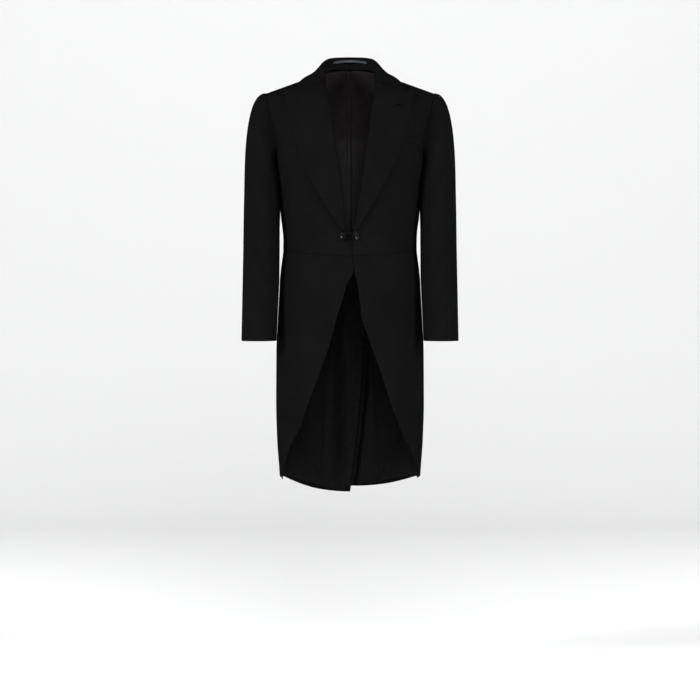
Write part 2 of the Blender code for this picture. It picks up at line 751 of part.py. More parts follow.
def build_lapel(name, side):
    """A lapel rolled back over its front, from the button up to the gorge and the peak."""
    key = "left" if side > 0 else "right"
    up = steps(0, 1, LAPEL_STEPS)
    fold_z = LAPEL_FOOT_Z + (GORGE_FOOT_Z - LAPEL_FOOT_Z) * up
    fold = pair(along(FRONT_EDGE, key, fold_z), fold_z)
    edge = pair(along(LAPEL_EDGE, key + "_x", up), along(LAPEL_EDGE, key + "_z", up))
    share, lift = LAPEL_SECTION["share"], LAPEL_SECTION["lift"]
    inner, outer = fold[:, None], edge[:, None]
    flat = inner + (outer - inner) * share[None, :, None]
    notch = np.array(NOTCH)
    fan = ease((up - 1 + GORGE_FADE) / GORGE_FADE)[:, None]
    along_gorge = share / NOTCH_SHARE
    straight = fold[-1] + (notch - fold[-1]) * along_gorge[:, None]
    straight[-1] = edge[-1]
    shift = straight - (fold[-1] + (edge[-1] - fold[-1]) * share[:, None])
    flat = flat + fan[..., None] * shift[None]
    width = np.linalg.norm(edge - fold, axis=-1)[:, None]
    rolled = np.minimum(width / LAPEL_ROLL_WIDTH, 1)
    flat_lift = LAPEL_SECTION["lift"][-1]
    foot = LAPEL_FOOT_SINK * (1 - ease(up / LAPEL_FOOT_FADE))[:, None]
    raised = np.where(share > 0.01, flat_lift + (lift - flat_lift) * rolled - foot, lift)
    outer_grid = laid(flat[..., 0], flat[..., 1], raised, side)
    out = grid_facing(outer_grid)
    inner_grid = outer_grid - out * LAPEL_WALL
    return wall(name, mirrored(outer_grid, side), mirrored(inner_grid, side), BLACK_WOOL)


def sampled(chart, rows, columns):
    """Places read from a chart at whole or part steps along and across."""
    rows, columns = np.asarray(rows, float), np.asarray(columns, float)
    r = np.minimum(rows.astype(int), chart.shape[0] - 2)
    c = np.minimum(columns.astype(int), chart.shape[1] - 2)
    up, over = (rows - r)[:, None, None], (columns - c)[None, :, None]
    near = chart[r][:, c] * (1 - over) + chart[r][:, c + 1] * over
    far = chart[r + 1][:, c] * (1 - over) + chart[r + 1][:, c + 1] * over
    return near * (1 - up) + far * up


def bezier(a, b, c, d, t):
    t = np.asarray(t)[:, None]
    return a * (1 - t) ** 3 + 3 * b * t * (1 - t) ** 2 + 3 * c * t**2 * (1 - t) + d * t**3


def neck_place(rows, share):
    """A place on the coat from a table of distance from the middle, rise and side of the shoulder seam."""
    found = []
    for x, rise, behind in zip(rows["x"], rows["rise"], rows["behind"]):
        level = CHEST_Z + RISE * rise / 90
        angle = angle_at(x, level, bool(behind))
        found.append(np.concatenate([coat(angle, level), facing(angle, level)]))
    found = np.array(found)
    columns = {"share": rows["share"]}
    for i in range(6):
        columns[str(i)] = found[:, i]
    read = np.array([float(along(columns, str(i), share)) for i in range(6)])
    return read[:3], unit(read[3:])


def off_edge(direction, out):
    """A direction laid into the cloth that faces out."""
    return unit(direction - out * float(np.dot(direction, out)))


def collar_station(share, side):
    """Points across the collar: up the stand, over the fold and down the fall."""
    key = "left" if side > 0 else "right"
    fold = np.array([float(along(COLLAR_FOLD, c, share)) for c in ("x", "y", "z")])
    base, base_out = neck_place(COLLAR_BASE, share)
    edge, edge_out = neck_place(COLLAR_EDGE, share)
    off = off_edge(fold - base, base_out)
    turned = ease((1 - share) / 0.35)
    base = base + off * (0.0012 + 0.0046 * turned) - base_out * WOOL * (1 - 0.6 * turned)
    edge = edge + edge_out * (LAPEL_SECTION["lift"][-2] + 0.0022 * ease((share - 0.4) / 0.2))
    away = unit(np.array([fold[0], (fold[1] + 0.065) * 0.8, 0.0]) + np.array([0.0, 0.0004, 0.0]))
    arrive = off_edge(edge - fold, edge_out)
    reach = float(np.linalg.norm(edge - fold))
    stand = bezier(base, base + (fold - base) * 0.45, fold - away * 0.0045, fold, STAND_AT)
    fall = bezier(fold, fold + away * 0.0086, edge - arrive * 0.40 * reach, edge, FALL_AT)
    folded = np.concatenate([stand, fall])
    fold_x = float(along(FRONT_EDGE, key, GORGE_FOOT_Z))
    near = np.array([fold_x, GORGE_FOOT_Z])
    start = ease(share / 0.30)
    near = near * (1 - start) + np.array([fold[0], fold[2]]) * start
    flat_edge = np.array(NOTCH) * (1 - start) + np.array([edge[0], edge[2]]) * start
    flat_share = np.minimum(LAPEL_SECTION["share"][:7] / LAPEL_SECTION["share"][6], 1)
    flat = near + (flat_edge - near) * flat_share[:, None]
    lift = LAPEL_SECTION["lift"][:7]
    lie = laid(flat[:, 0], flat[:, 1], lift, -1)
    inward = laid(np.repeat(near[0], 2), np.repeat(near[1], 2), np.array([-0.009, -0.0055]), -1)
    laid_down = np.concatenate([inward, lie])
    return laid_down * (1 - start) + folded * start


def collar_grid():
    halves = []
    for side in (1, -1):
        half = np.array([collar_station(share, side) for share in COLLAR_SHARES])
        half[0] += unit(half[1] - half[0]) * SEAM * 2.5
        half[0, :4] += unit(half[1, :4] - half[0, :4]) * SEAM * 2
        halves.append(mirrored(half, side))
    return np.concatenate([halves[0], halves[1][-2::-1]])


def build_collar():
    face = collar_grid()
    out = grid_facing(face)
    wall("collar", face, face - out * COLLAR_WALL, BLACK_WOOL)
    return face


def scye_ring():
    """The armhole once round: from the shoulder down the front, under the arm and up the back."""
    front = pair(SCYE_FRONT, rise_levels(SCYE_UP_STEPS))[::-1]
    back = pair(SCYE_BACK, rise_levels(SCYE_UP_STEPS))
    ring = line(front, low_scye_front()[::-1], low_scye_back(), back)[:-1]
    return coat(ring[:, 0], ring[:, 1])


def arm_ring(z, turn):
    """A level ring of the sleeve; the turn goes from the outside over the front to the inside."""
    inner, outer = along(SLEEVE, "inner_x", z), along(SLEEVE, "outer_x", z)
    across, deep = np.cos(np.radians(turn)), np.sin(np.radians(turn))
    size = (np.abs(across) ** ARM_SQUARENESS + np.abs(deep) ** ARM_SQUARENESS) ** (1 / ARM_SQUARENESS)
    x = (inner + outer) / 2 + (outer - inner) / 2 * across / size
    y = along(SLEEVE, "middle_y", z) - along(SLEEVE, "half_depth", z) * deep / size
    return np.stack([x, y, np.full(x.shape, float(z))], axis=-1)


def sleeve_grid():
    """Rings of the sleeve from the armhole over the crown and down to the cuff."""
    start = scye_ring()
    count = len(start)
    radial = start[:, 1:] - np.array(SCYE_MIDDLE)
    angle = np.unwrap(np.arctan2(radial[:, 1], radial[:, 0]) - math.pi / 2)
    turn = np.degrees(angle - angle[0])
    turn = turn * np.sign(turn[count // 2])
    even = 360.0 * np.arange(count) / count
    at_bicep = turn + (even - turn) * 0.4
    end = arm_ring(BICEP_Z, at_bicep)
    below = arm_ring(BICEP_Z - 0.02, at_bicep)
    down = unit(below - end)
    reach = np.linalg.norm(end - start, axis=1, keepdims=True)
    outward = unit(np.column_stack([np.ones(count), CAP_ROPE * unit(radial)]))
    outward[:, 2] -= 0.25 * np.clip(-unit(radial)[:, 1], 0, 1)
    start = start + outward * SEAM * 1.5
    rings = []
    for t in steps(0, 1, CAP_STEPS):
        ring = start * (1 + 2 * t) * (1 - t) ** 2 + end * (3 - 2 * t) * t**2
        ring = ring + outward * reach * CAP_PUSH * t * (1 - t) ** 2
        rings.append(ring - down * reach * CAP_DROP * t**2 * (1 - t))
    for t in steps(0, 1, ARM_STEPS)[1:]:
        z = BICEP_Z + (CUFF_Z - BICEP_Z) * t
        rings.append(arm_ring(z, at_bicep + (even - at_bicep) * ease(t * 1.5)))
    return np.array(rings)


def tube_facing(grid):
    down = np.gradient(grid, axis=0)
    over = np.roll(grid, -1, axis=1) - np.roll(grid, 1, axis=1)
    return unit(np.cross(down, over))


def build_sleeves(side, word):
    """The topsleeve and undersleeve of one arm, parted at the two sleeve seams."""
    grid = sleeve_grid()
    count = grid.shape[1]
    out = tube_facing(grid)
    middle = grid.mean(axis=1, keepdims=True)
    if float(np.sum(out * (grid - middle))) < 0:
        out = -out
    inner = grid - out * WOOL
    top = [i % count for i in range(HIND_SEAM_AT, count + FRONT_SEAM_AT + 1)]
    under = list(range(FRONT_SEAM_AT, HIND_SEAM_AT + 1))
    for name, picked in (("topsleeve_", top), ("undersleeve_", under)):
        face = mirrored(drawn_in(grid[:, picked]), side)
        back = mirrored(drawn_in(inner[:, picked]), side)
        wall(name + word, face, back, BLACK_WOOL)


def build_button(name, centre, out):
    """A turned button on its shank, modelled upright and stood on the cloth at a centre."""
    sides = BUTTON_SIDES
    points = [(0.0, 0.0, BUTTON["height"][0])]
    for radius, height in zip(BUTTON["radius"], BUTTON["height"]):
        for i in range(sides):
            turn = 2 * math.pi * i / sides
            points.append((radius * math.cos(turn), radius * math.sin(turn), height))
    points.append((0.0, 0.0, BUTTON["height"][-1]))
    rings = len(BUTTON["radius"])
    faces = []
    for i in range(sides):
        j = (i + 1) % sides
        faces.append((0, 1 + j, 1 + i))
        for r in range(rings - 1):
            a, b = 1 + r * sides, 1 + (r + 1) * sides
            faces.append((a + i, a + j, b + j, b + i))
        last = 1 + (rings - 1) * sides
        faces.append((last + i, last + j, len(points) - 1))
    button = add(name, points, faces, HORN)
    button.location = centre
    button.rotation_mode = "QUATERNION"
    button.rotation_quaternion = Vector(out).to_track_quat("Z", "Y")


def build_tube(name, path, radius, look):
    """A closed round thread along a path."""
    sides = LINK_SIDES
    path = np.array(path)
    along_path = unit(np.gradient(path, axis=0))
    points = []
    for centre, ahead in zip(path, along_path):
        over = unit(np.cross(ahead, np.array([0.0, 0.0, 1.0])))
        up = np.cross(over, ahead)
        for i in range(sides):
            turn = 2 * math.pi * i / sides
            points.append(centre + (over * math.cos(turn) + up * math.sin(turn)) * radius)
    last = (len(path) - 1) * sides
    faces = [tuple(range(sides)), tuple(reversed(range(last, last + sides)))]
    for r in range(len(path) - 1):
        for i in range(sides):
            j = (i + 1) % sides
            a, b = r * sides, (r + 1) * sides
            faces.append((a + j, a + i, b + i, b + j))
    add(name, points, faces, look)


def on_front(x, z, lift, side):
    """A point over one front and the direction it faces."""
    angle, level = place_at(abs(x), z)
    if x * side < 0:
        angle = -180.0 - angle
    out = facing(angle, level)
    point = coat(angle, level) + out * (lift + float(front_lift(side, abs(x), z)))
    flip = np.array([side, 1, 1])
    return point * flip, out * flip


def build_buttons():
    for side, word in ((1, "left"), (-1, "right")):
        centre, out = on_front(side * FRONT_BUTTON_X, FRONT_BUTTON_Z, 0.0, side)
        build_button("front_button_" + word, centre, out)
        z = WAIST_BUTTON_Z
        x = float(along(BACK_SEAM, "x", z)) - WAIST_BUTTON_INSET
        angle = float(angle_at(x, z, True))
        out = facing(angle, z)
        centre = (coat(angle, z) + out * float(pleat_lift(z))) * np.array([side, 1, 1])
        build_button("waist_button_" + word, centre, out * np.array([side, 1, 1]))
    path = []
    for x, lift, side in zip(LINK_PATH["x"], LINK_PATH["lift"], LINK_PATH["side"]):
        path.append(on_front(x, FRONT_BUTTON_Z, lift, side)[0])
    build_tube("button_link", path, LINK_RADIUS, HORN)


def build_loop(collar):
    """The ribbon stitched to the collar stand by its two ends."""
    stand = collar[:, :4]
    order = np.argsort(stand[:, 0, 0])
    rows = []
    for t in steps(0, 1, LOOP_STEPS):
        x = -LOOP_HALF + 2 * LOOP_HALF * t
        bow = math.sin(math.pi * t)
        middle = LOOP_END_Z + (LOOP_MIDDLE_Z - LOOP_END_Z) * bow**0.7
        near = stand[order]
        ys = np.array([np.interp(x, near[:, c, 0], near[:, c, 1]) for c in range(4)])
        zs = np.array([np.interp(x, near[:, c, 0], near[:, c, 2]) for c in range(4)])
        row = []
        for z in (middle - LOOP_WIDTH / 2, middle + LOOP_WIDTH / 2):
            y = float(np.interp(z, zs, ys)) - LOOP_GAP - LOOP_BOW * bow
            row.append((x, y, z))
        rows.append(row)
    back = np.array(rows)
    wall("hanger_loop", back, back - np.array([0.0, RIBBON, 0.0]), RIBBON_SATIN)


def build_welt():
    over = steps(WELT_ENDS[0], WELT_ENDS[1], WELT_STEPS)
    x, z = np.meshgrid(over, np.array([WELT_FOOT_Z, WELT_TOP_Z]))
    outer = laid(x, z, WELT_GAP + WELT_WALL, 1)
    inner = laid(x, z, WELT_GAP, 1)
    wall("breast_welt", outer, inner, BLACK_WOOL)


def build_linings(side, word, lift):
    """The linings of one back, tail and skirt, a little inside the wool."""
    inside = WOOL + LINING_SLACK
    chart = back_chart(side)
    rows = len(chart) - 1
    upper = sampled(chart, np.append(TAIL_STEPS + 0.12, np.arange(TAIL_STEPS + 1, rows)), (0, 2, 3, 5, 7))
    panel("back_lining_" + word, side, upper, SATIN, lift, inside, LINING)
    across = (0.4, 2, 4, 5, 6) if side > 0 else (0.4, 1, 2, 3, 4, 5, 6)
    tail = sampled(chart, np.concatenate([[0.25], np.arange(1, TAIL_STEPS), [TAIL_STEPS - 0.1]]), across)
    panel("tail_lining_" + word, side, tail, SATIN, lift, inside, LINING)
    chart = skirt_chart(side)
    rows = np.append(np.arange(0, TAIL_STEPS), TAIL_STEPS - 0.25)
    skirt = sampled(chart, rows, (1, 3, 5, 7, 9, 11, 13, 15))

    def front(x, z):
        return front_lift(side, x, z)

    panel("skirt_lining_" + word, side, skirt, SATIN, front, inside, LINING)


def build():
    for side, word in ((1, "left"), (-1, "right")):
        def front(x, z, side=side):
            return front_lift(side, x, z)

        def back(x, z, side=side):
            seam = along(BACK_SEAM, "x", z)
            beyond = ease((x - seam + PLEAT_EDGE) / PLEAT_EDGE_FADE)
            return pleat_lift(z) * beyond - vent_sink(side, x, z)

        panel("forepart_" + word, side, forepart_chart(side), lift=front)
        panel("sidebody_" + word, side, sidebody_chart())
        panel("back_" + word, side, back_chart(side), lift=back)
        panel("skirt_" + word, side, skirt_chart(side), lift=front)
        build_lapel("lapel_" + word, side)
        build_sleeves(side, word)
        build_linings(side, word, back)
    build_loop(build_collar())
    build_welt()
    build_buttons()


for old in list(bpy.data.objects):
    bpy.data.objects.remove(old, do_unlink=True)
COLLECTION = bpy.data.collections.new("morning_coat")
bpy.context.scene.collection.children.link(COLLECTION)
HELD = bpy.data.objects.new("held_at_nape", None)
COLLECTION.objects.link(HELD)
build()
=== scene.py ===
import math

import bpy
import numpy as np
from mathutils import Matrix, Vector


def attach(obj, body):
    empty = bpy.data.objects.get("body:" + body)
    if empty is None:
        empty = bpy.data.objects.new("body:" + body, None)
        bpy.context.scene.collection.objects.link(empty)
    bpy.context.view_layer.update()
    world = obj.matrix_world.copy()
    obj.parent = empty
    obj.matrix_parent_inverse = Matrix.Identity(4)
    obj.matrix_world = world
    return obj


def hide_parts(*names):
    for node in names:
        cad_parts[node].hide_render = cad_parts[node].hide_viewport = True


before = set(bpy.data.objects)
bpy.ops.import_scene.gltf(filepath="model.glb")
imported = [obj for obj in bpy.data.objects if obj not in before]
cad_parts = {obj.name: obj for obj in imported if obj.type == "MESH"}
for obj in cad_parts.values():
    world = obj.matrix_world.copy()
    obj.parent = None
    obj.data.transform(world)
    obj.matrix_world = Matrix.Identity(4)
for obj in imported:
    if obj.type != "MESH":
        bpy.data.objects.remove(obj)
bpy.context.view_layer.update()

# The two foreparts: the fronts of the body, each from the lapel's fold round to the side seam, cut from black
# worsted wool over a canvas. They hang from the shoulder seam in the shape of the chest that wore them, and
# the wearer's left one laps over the right one below the buttons.
WOOL = 0.0020
SEAM = 0.0003
CHEST_Z = -0.185
ARMHOLE_FOOT_Z = -0.262
SCYE_DEPTH = 0.053
SCYE_CURVE = 2.2
SIDE_Y = -0.085
WAIST_Z = -0.471
WAIST_SIDE_RISE = 0.014
RISE = 0.17
NECK_X = 0.078
NECK_Y = -0.062
NECK_Z = -0.0145
NAPE_Y = -0.003
NAPE_Z = 0.0055
SHOULDER_X = 0.209
SHOULDER_SLOPE = 0.374
SHOULDER_SWEEP = 0.20
SCYE_FRONT_X = 0.181
SCYE_BACK_X = 0.176
LAPEL_FOOT_Z = -0.409
UNDERLAP_TOP_Z = -0.413
FOREPART_SETBACK = 0.0030
LAP_STAND = 0.0030


def table(columns, *rows):
    """A table whose first column is the place along it."""
    return dict(zip(columns.split(), np.array(rows, float).T))


TORSO = table(
    "z half_width front_depth back_depth squareness",
    (-1.10, 0.1735, 0.126, 0.128, 2.30),
    (-1.02, 0.1750, 0.126, 0.130, 2.30),
    (-0.93, 0.1805, 0.127, 0.134, 2.32),
    (-0.83, 0.1830, 0.128, 0.139, 2.34),
    (-0.705, 0.1830, 0.127, 0.143, 2.36),
    (-0.63, 0.1800, 0.124, 0.142, 2.38),
    (-0.56, 0.1765, 0.119, 0.134, 2.38),
    (-0.505, 0.1728, 0.115, 0.120, 2.38),
    (-0.455, 0.1670, 0.112, 0.109, 2.38),
    (-0.430, 0.1666, 0.112, 0.106, 2.38),
    (-0.405, 0.1686, 0.113, 0.106, 2.38),
    (-0.380, 0.1720, 0.116, 0.109, 2.38),
    (-0.355, 0.1744, 0.119, 0.113, 2.38),
    (-0.330, 0.1764, 0.121, 0.116, 2.38),
    (-0.300, 0.1802, 0.124, 0.121, 2.38),
    (-0.270, 0.1848, 0.127, 0.127, 2.38),
    (-0.238, 0.1888, 0.130, 0.132, 2.40),
    (-0.185, 0.1910, 0.131, 0.136, 2.40),
)
SCYE = table(
    "share front_x back_x",
    (0.00, SCYE_FRONT_X, SCYE_BACK_X),
    (0.25, 0.1940, 0.1860),
    (0.50, 0.2030, 0.1960),
    (0.75, 0.2075, 0.2045),
    (1.00, SHOULDER_X, SHOULDER_X),
)
TURN = table(
    "x power",
    (0.000, 1.00),
    (0.045, 0.92),
    (0.078, 0.62),
    (0.110, 0.50),
    (0.215, 0.50),
)
FRONT_EDGE = table(
    "z left right",
    (-1.100, 0.1720, 0.1715),
    (-1.025, 0.1700, 0.1695),
    (-1.000, 0.1675, 0.1665),
    (-0.975, 0.1600, 0.1595),
    (-0.942, 0.1480, 0.1490),
    (-0.922, 0.1370, 0.1400),
    (-0.892, 0.1240, 0.1235),
    (-0.845, 0.1055, 0.1075),
    (-0.780, 0.0840, 0.0830),
    (-0.722, 0.0640, 0.0620),
    (-0.693, 0.0530, 0.0520),
    (-0.655, 0.0400, 0.0410),
    (-0.622, 0.0290, 0.0330),
    (-0.580, 0.0240, 0.0190),
    (-0.542, 0.0190, 0.0080),
    (-0.505, 0.0105, -0.0100),
    (-0.471, 0.0070, -0.0150),
    (-0.447, 0.0060, -0.0140),
    (-0.420, 0.0060, -0.0110),
    (-0.4135, 0.0061, -0.0100),
    (-0.4100, 0.0065, 0.0112),
    (-0.405, 0.0075, 0.0117),
    (-0.357, 0.0165, 0.0140),
    (-0.300, 0.0265, 0.0190),
    (-0.256, 0.0325, 0.0240),
    (-0.210, 0.0390, 0.0315),
    (-0.170, 0.0450, 0.0385),
    (-0.109, 0.0530, 0.0480),
    (-0.062, 0.0605, 0.0580),
    (-0.036, 0.0625, 0.0615),
    (-0.020, 0.0680, 0.0680),
    (NECK_Z, NECK_X, NECK_X),
)
# Soft ridges (+) and troughs (-) that wearing leaves, placed by the turn round the body (-90 is the middle of
# the front) and the height: how far each leans from upright in degrees, and its length, width and depth in
# metres
BODY_FOLDS = table(
    "turn height lean length width depth side",
    (-79, -0.428, 62, 0.040, 0.0085, -0.0009, 0),
    (-66, -0.405, 55, 0.046, 0.0100, 0.0008, 1),
    (-70, -0.447, 80, 0.042, 0.0080, -0.0007, -1),
    (-30, -0.395, 70, 0.040, 0.0120, -0.0012, 0),
    (-22, -0.432, 84, 0.050, 0.0110, 0.0011, 1),
    (-26, -0.452, 78, 0.044, 0.0100, -0.0010, -1),
    (-36, -0.255, -14, 0.060, 0.0130, -0.0014, 0),
    (-24, -0.310, -8, 0.070, 0.0120, 0.0012, 0),
    (22, -0.420, -72, 0.046, 0.0110, -0.0013, 0),
    (34, -0.445, -80, 0.050, 0.0120, 0.0012, 1),
    (30, -0.398, -66, 0.044, 0.0110, -0.0010, -1),
    (38, -0.240, 16, 0.075, 0.0140, 0.0020, 0),
    (47, -0.250, 12, 0.070, 0.0120, -0.0018, 0),
    (74, -0.430, 82, 0.055, 0.0100, -0.0009, 0),
    (80, -0.052, 86, 0.050, 0.0090, -0.0008, 0),
    (-62, -0.700, -6, 0.160, 0.0220, 0.0012, 1),
    (-46, -0.820, 4, 0.200, 0.0240, -0.0018, 0),
    (-30, -0.760, 2, 0.220, 0.0200, 0.0019, -1),
    (-16, -0.860, -3, 0.200, 0.0220, -0.0020, 1),
    (4, -0.800, 3, 0.230, 0.0240, 0.0024, 0),
    (20, -0.880, -2, 0.190, 0.0220, -0.0024, 0),
    (36, -0.740, 3, 0.200, 0.0200, 0.0020, 0),
    (64, -0.820, 2, 0.220, 0.0180, -0.0020, 0),
    (76, -0.900, -2, 0.170, 0.0160, 0.0018, 1),
    (-52, -0.560, 40, 0.050, 0.0120, -0.0009, 0),
    (-12, -0.540, 75, 0.050, 0.0130, 0.0010, 0),
    (-84, -0.432, -35, 0.020, 0.0050, -0.0008, 1),
    (-84, -0.412, 35, 0.020, 0.0050, -0.0006, -1),
)
METRES_PER_TURN = 0.0030
SEAM_ROLL = 0.0011
SEAM_ROLL_AT = 0.35
EDGE_STEPS = 60
SCYE_UP_STEPS = 36
SCYE_LOW_STEPS = 18
SIDE_STEPS = 48
LAP_STEPS = 14
SIDEBODY_STEPS = 30
SIDES = ((1, "left"), (-1, "right"))


def along(rows, column, at):
    """A column of a table, by a monotone cubic through its rows."""
    names = list(rows)
    place = rows[names[0]]
    value = rows[column]
    step = np.diff(place)
    slope = np.diff(value) / step
    tangent = np.zeros(len(place))
    before, after = slope[:-1], slope[1:]
    same = before * after > 0
    tangent[1:-1][same] = 2 * before[same] * after[same] / (before[same] + after[same])
    tangent[0], tangent[-1] = slope[0], slope[-1]
    at = np.clip(np.asarray(at, float), place[0], place[-1])
    i = np.clip(np.searchsorted(place, at) - 1, 0, len(step) - 1)
    t = (at - place[i]) / step[i]
    rest = 1 - t
    return (
        value[i] * (1 + 2 * t) * rest**2
        + value[i + 1] * (3 - 2 * t) * t**2
        + step[i] * (tangent[i] * t * rest**2 - tangent[i + 1] * t**2 * rest)
    )


def ease(value):
    """0 below 0, 1 above 1 and smooth between."""
    value = np.clip(value, 0, 1)
    return value * value * (3 - 2 * value)


def unit(vectors):
    return vectors / np.maximum(np.linalg.norm(vectors, axis=-1, keepdims=True), 1e-12)


def steps(start, end, count):
    return np.linspace(start, end, count + 1)


def line(*parts):
    """Boundary points from parts, each without its first point but the first."""
    return np.concatenate([parts[0]] + [part[1:] for part in parts[1:]])


def pair(angle, level):
    angle, level = np.broadcast_arrays(np.asarray(angle, float), np.asarray(level, float))
    return np.stack([angle, level], axis=-1)


def shoulder_line(x):
    """The line that the shoulder seam runs along, carried in over the neck: its y and z."""
    out = np.abs(x)
    t = np.clip(out / NECK_X, 0, 1)
    bend = ease(t)
    lean = t * t * (t - 1) * NECK_X
    y_in = NAPE_Y + (NECK_Y - NAPE_Y) * bend - SHOULDER_SWEEP * lean
    z_in = NAPE_Z + (NECK_Z - NAPE_Z) * bend - SHOULDER_SLOPE * lean
    beyond = out - NECK_X
    y = np.where(beyond > 0, NECK_Y - SHOULDER_SWEEP * beyond, y_in)
    z = np.where(beyond > 0, NECK_Z - SHOULDER_SLOPE * beyond, z_in)
    return y, z


def coat(angle, level):
    """A point of the cloth's face. The angle goes from -90 at the front to 90 at the back. The level is the
    height up to the chest, and above it the rise from 0 to 90 degrees over the shoulder, scaled to RISE."""
    angle, level = np.broadcast_arrays(np.asarray(angle, float), np.asarray(level, float))
    low = np.minimum(level, CHEST_Z)
    power = along(TORSO, "squareness", low)
    across, deep = np.cos(np.radians(angle)), np.sin(np.radians(angle))
    size = (np.abs(across) ** power + np.abs(deep) ** power) ** (1 / power)
    behind = deep > 0
    depth = np.where(behind, along(TORSO, "back_depth", low), along(TORSO, "front_depth", low))
    x = along(TORSO, "half_width", low) * across / size
    y = SIDE_Y + depth * deep / size
    share = np.clip((level - CHEST_Z) / RISE, 0, 1)
    rise = share * math.pi / 2
    reach = x / np.where(behind, SCYE_BACK_X, SCYE_FRONT_X)
    edge_x = np.where(behind, along(SCYE, "back_x", share), along(SCYE, "front_x", share))
    top_y, top_z = shoulder_line(reach * SHOULDER_X)
    turn = np.cos(rise) ** (2 * along(TURN, "power", np.abs(reach) * SHOULDER_X))
    high = share > 0
    return np.stack(
        [
            np.where(high, reach * edge_x, x),
            np.where(high, top_y + (y - top_y) * turn, y),
            np.where(high, CHEST_Z + (top_z - CHEST_Z) * np.sin(rise), low),
        ],
        axis=-1,
    )


def facing(angle, level):
    """The outward direction of the cloth's face."""
    level = np.minimum(level, CHEST_Z + RISE * 0.998)
    turn, lift = 0.05, 0.0002
    sideways = coat(angle + turn, level) - coat(angle - turn, level)
    upward = coat(angle, level + lift) - coat(angle, level - lift)
    return unit(np.cross(sideways, upward))


def angle_at(x, level, behind):
    """The angle at which the cloth reaches a distance from the middle, at a level."""
    x = np.asarray(x, float)
    level = np.asarray(level, float)
    share = np.clip((level - CHEST_Z) / RISE, 0, 1)
    scye = (SCYE_BACK_X, "back_x") if behind else (SCYE_FRONT_X, "front_x")
    x = np.where(share > 0, x * scye[0] / along(SCYE, scye[1], share), x)
    low = np.minimum(level, CHEST_Z)
    power = along(TORSO, "squareness", low)
    out = np.maximum(np.abs(x), 1e-5)
    ratio = np.maximum(along(TORSO, "half_width", low) / out, 1.0)
    angle = np.degrees(np.arctan((ratio**power - 1) ** (1 / power)))
    angle = np.where(x < 0, 180 - angle, angle)
    return angle if behind else -angle


def place_at(x, z, behind=False):
    """The angle and level of the cloth's point at a distance from the middle and a height."""
    x, z = np.broadcast_arrays(np.asarray(x, float), np.asarray(z, float))
    scye = (SCYE_BACK_X, "back_x") if behind else (SCYE_FRONT_X, "front_x")
    share = np.full(x.shape, 0.5)
    for _ in range(40):
        top = shoulder_line(x / along(SCYE, scye[1], share) * SHOULDER_X)[1]
        rise = np.arcsin(np.clip((z - CHEST_Z) / (top - CHEST_Z), 0, 1))
        share = 0.5 * share + 0.5 * rise / (math.pi / 2)
    level = np.where(z > CHEST_Z, CHEST_Z + RISE * share, z)
    return angle_at(x, level, behind), level


SCYE_FRONT = float(angle_at(SCYE_FRONT_X, CHEST_Z, False))
SCYE_BACK = float(angle_at(SCYE_BACK_X, CHEST_Z, True))
SIDE_SEAM = -8.0


def scye_fore(share):
    """Angles along the lower armhole from the side seam forward."""
    return SIDE_SEAM + (SCYE_FRONT - SIDE_SEAM) * np.sin(share * math.pi / 2) ** 0.9


def scye_aft(share):
    """Angles along the lower armhole from the side seam back."""
    return SIDE_SEAM + (SCYE_BACK - SIDE_SEAM) * np.sin(share * math.pi / 2) ** 0.95


def scye_low(angle):
    """The height of the armhole's lower curve."""
    middle, half = (SCYE_FRONT + SCYE_BACK) / 2, (SCYE_BACK - SCYE_FRONT) / 2
    t = np.clip(np.abs((angle - middle) / half), 0, 1)
    return CHEST_Z - SCYE_DEPTH * (1 - t**SCYE_CURVE) ** (1 / SCYE_CURVE)


def waist_z(angle):
    return WAIST_Z + WAIST_SIDE_RISE * np.abs(np.cos(np.radians(angle))) ** 1.5


def patch(left, right, bottom, top):
    """Rows of points filling four edges that meet at the corners."""
    left, right, bottom, top = (np.asarray(e, float) for e in (left, right, bottom, top))
    up = np.linspace(0, 1, len(left))[:, None, None]
    over = np.linspace(0, 1, len(bottom))[None, :, None]
    ruled = (1 - over) * left[:, None] + over * right[:, None]
    ruled = ruled + (1 - up) * bottom[None] + up * top[None]
    corners = (1 - up) * ((1 - over) * bottom[0] + over * bottom[-1])
    return ruled - corners - up * ((1 - over) * top[0] + over * top[-1])


def drawn_in(grid, amount=SEAM / 2):
    """A grid with its four edges drawn in by half a seam."""
    grid = grid.copy()
    grid[0] += unit(grid[1] - grid[0]) * amount
    grid[-1] += unit(grid[-2] - grid[-1]) * amount
    grid[:, 0] += unit(grid[:, 1] - grid[:, 0]) * amount
    grid[:, -1] += unit(grid[:, -2] - grid[:, -1]) * amount
    return grid


def folds(rows, turn, height, side):
    """How far the soft folds of a table raise or sink the cloth at a turn and height."""
    raised = np.zeros(np.broadcast(turn, height).shape)
    for at, up, lean, length, width, depth, only in zip(*rows.values()):
        if only * side < 0:
            continue
        across = (turn - at) * METRES_PER_TURN
        upward = height - up
        tilt = math.radians(lean)
        run = upward * math.cos(tilt) + across * math.sin(tilt)
        off = across * math.cos(tilt) - upward * math.sin(tilt)
        off = off + 0.25 * width * np.sin(run / length * 2.3 + at)
        soft = np.exp(-np.abs(off / width) ** 2 - (run / length) ** 2)
        raised = raised + depth * soft
    return raised


def front_lift(side, x, z):
    """How far the upper front stands over the lower one where they lap."""
    if side < 0:
        return np.zeros(np.shape(z))
    near = 1 - ease((np.abs(x) - 0.020) / 0.045)
    down = ease((-0.335 - z) / 0.060) * ease((z + 0.560) / 0.040)
    return LAP_STAND * near * down


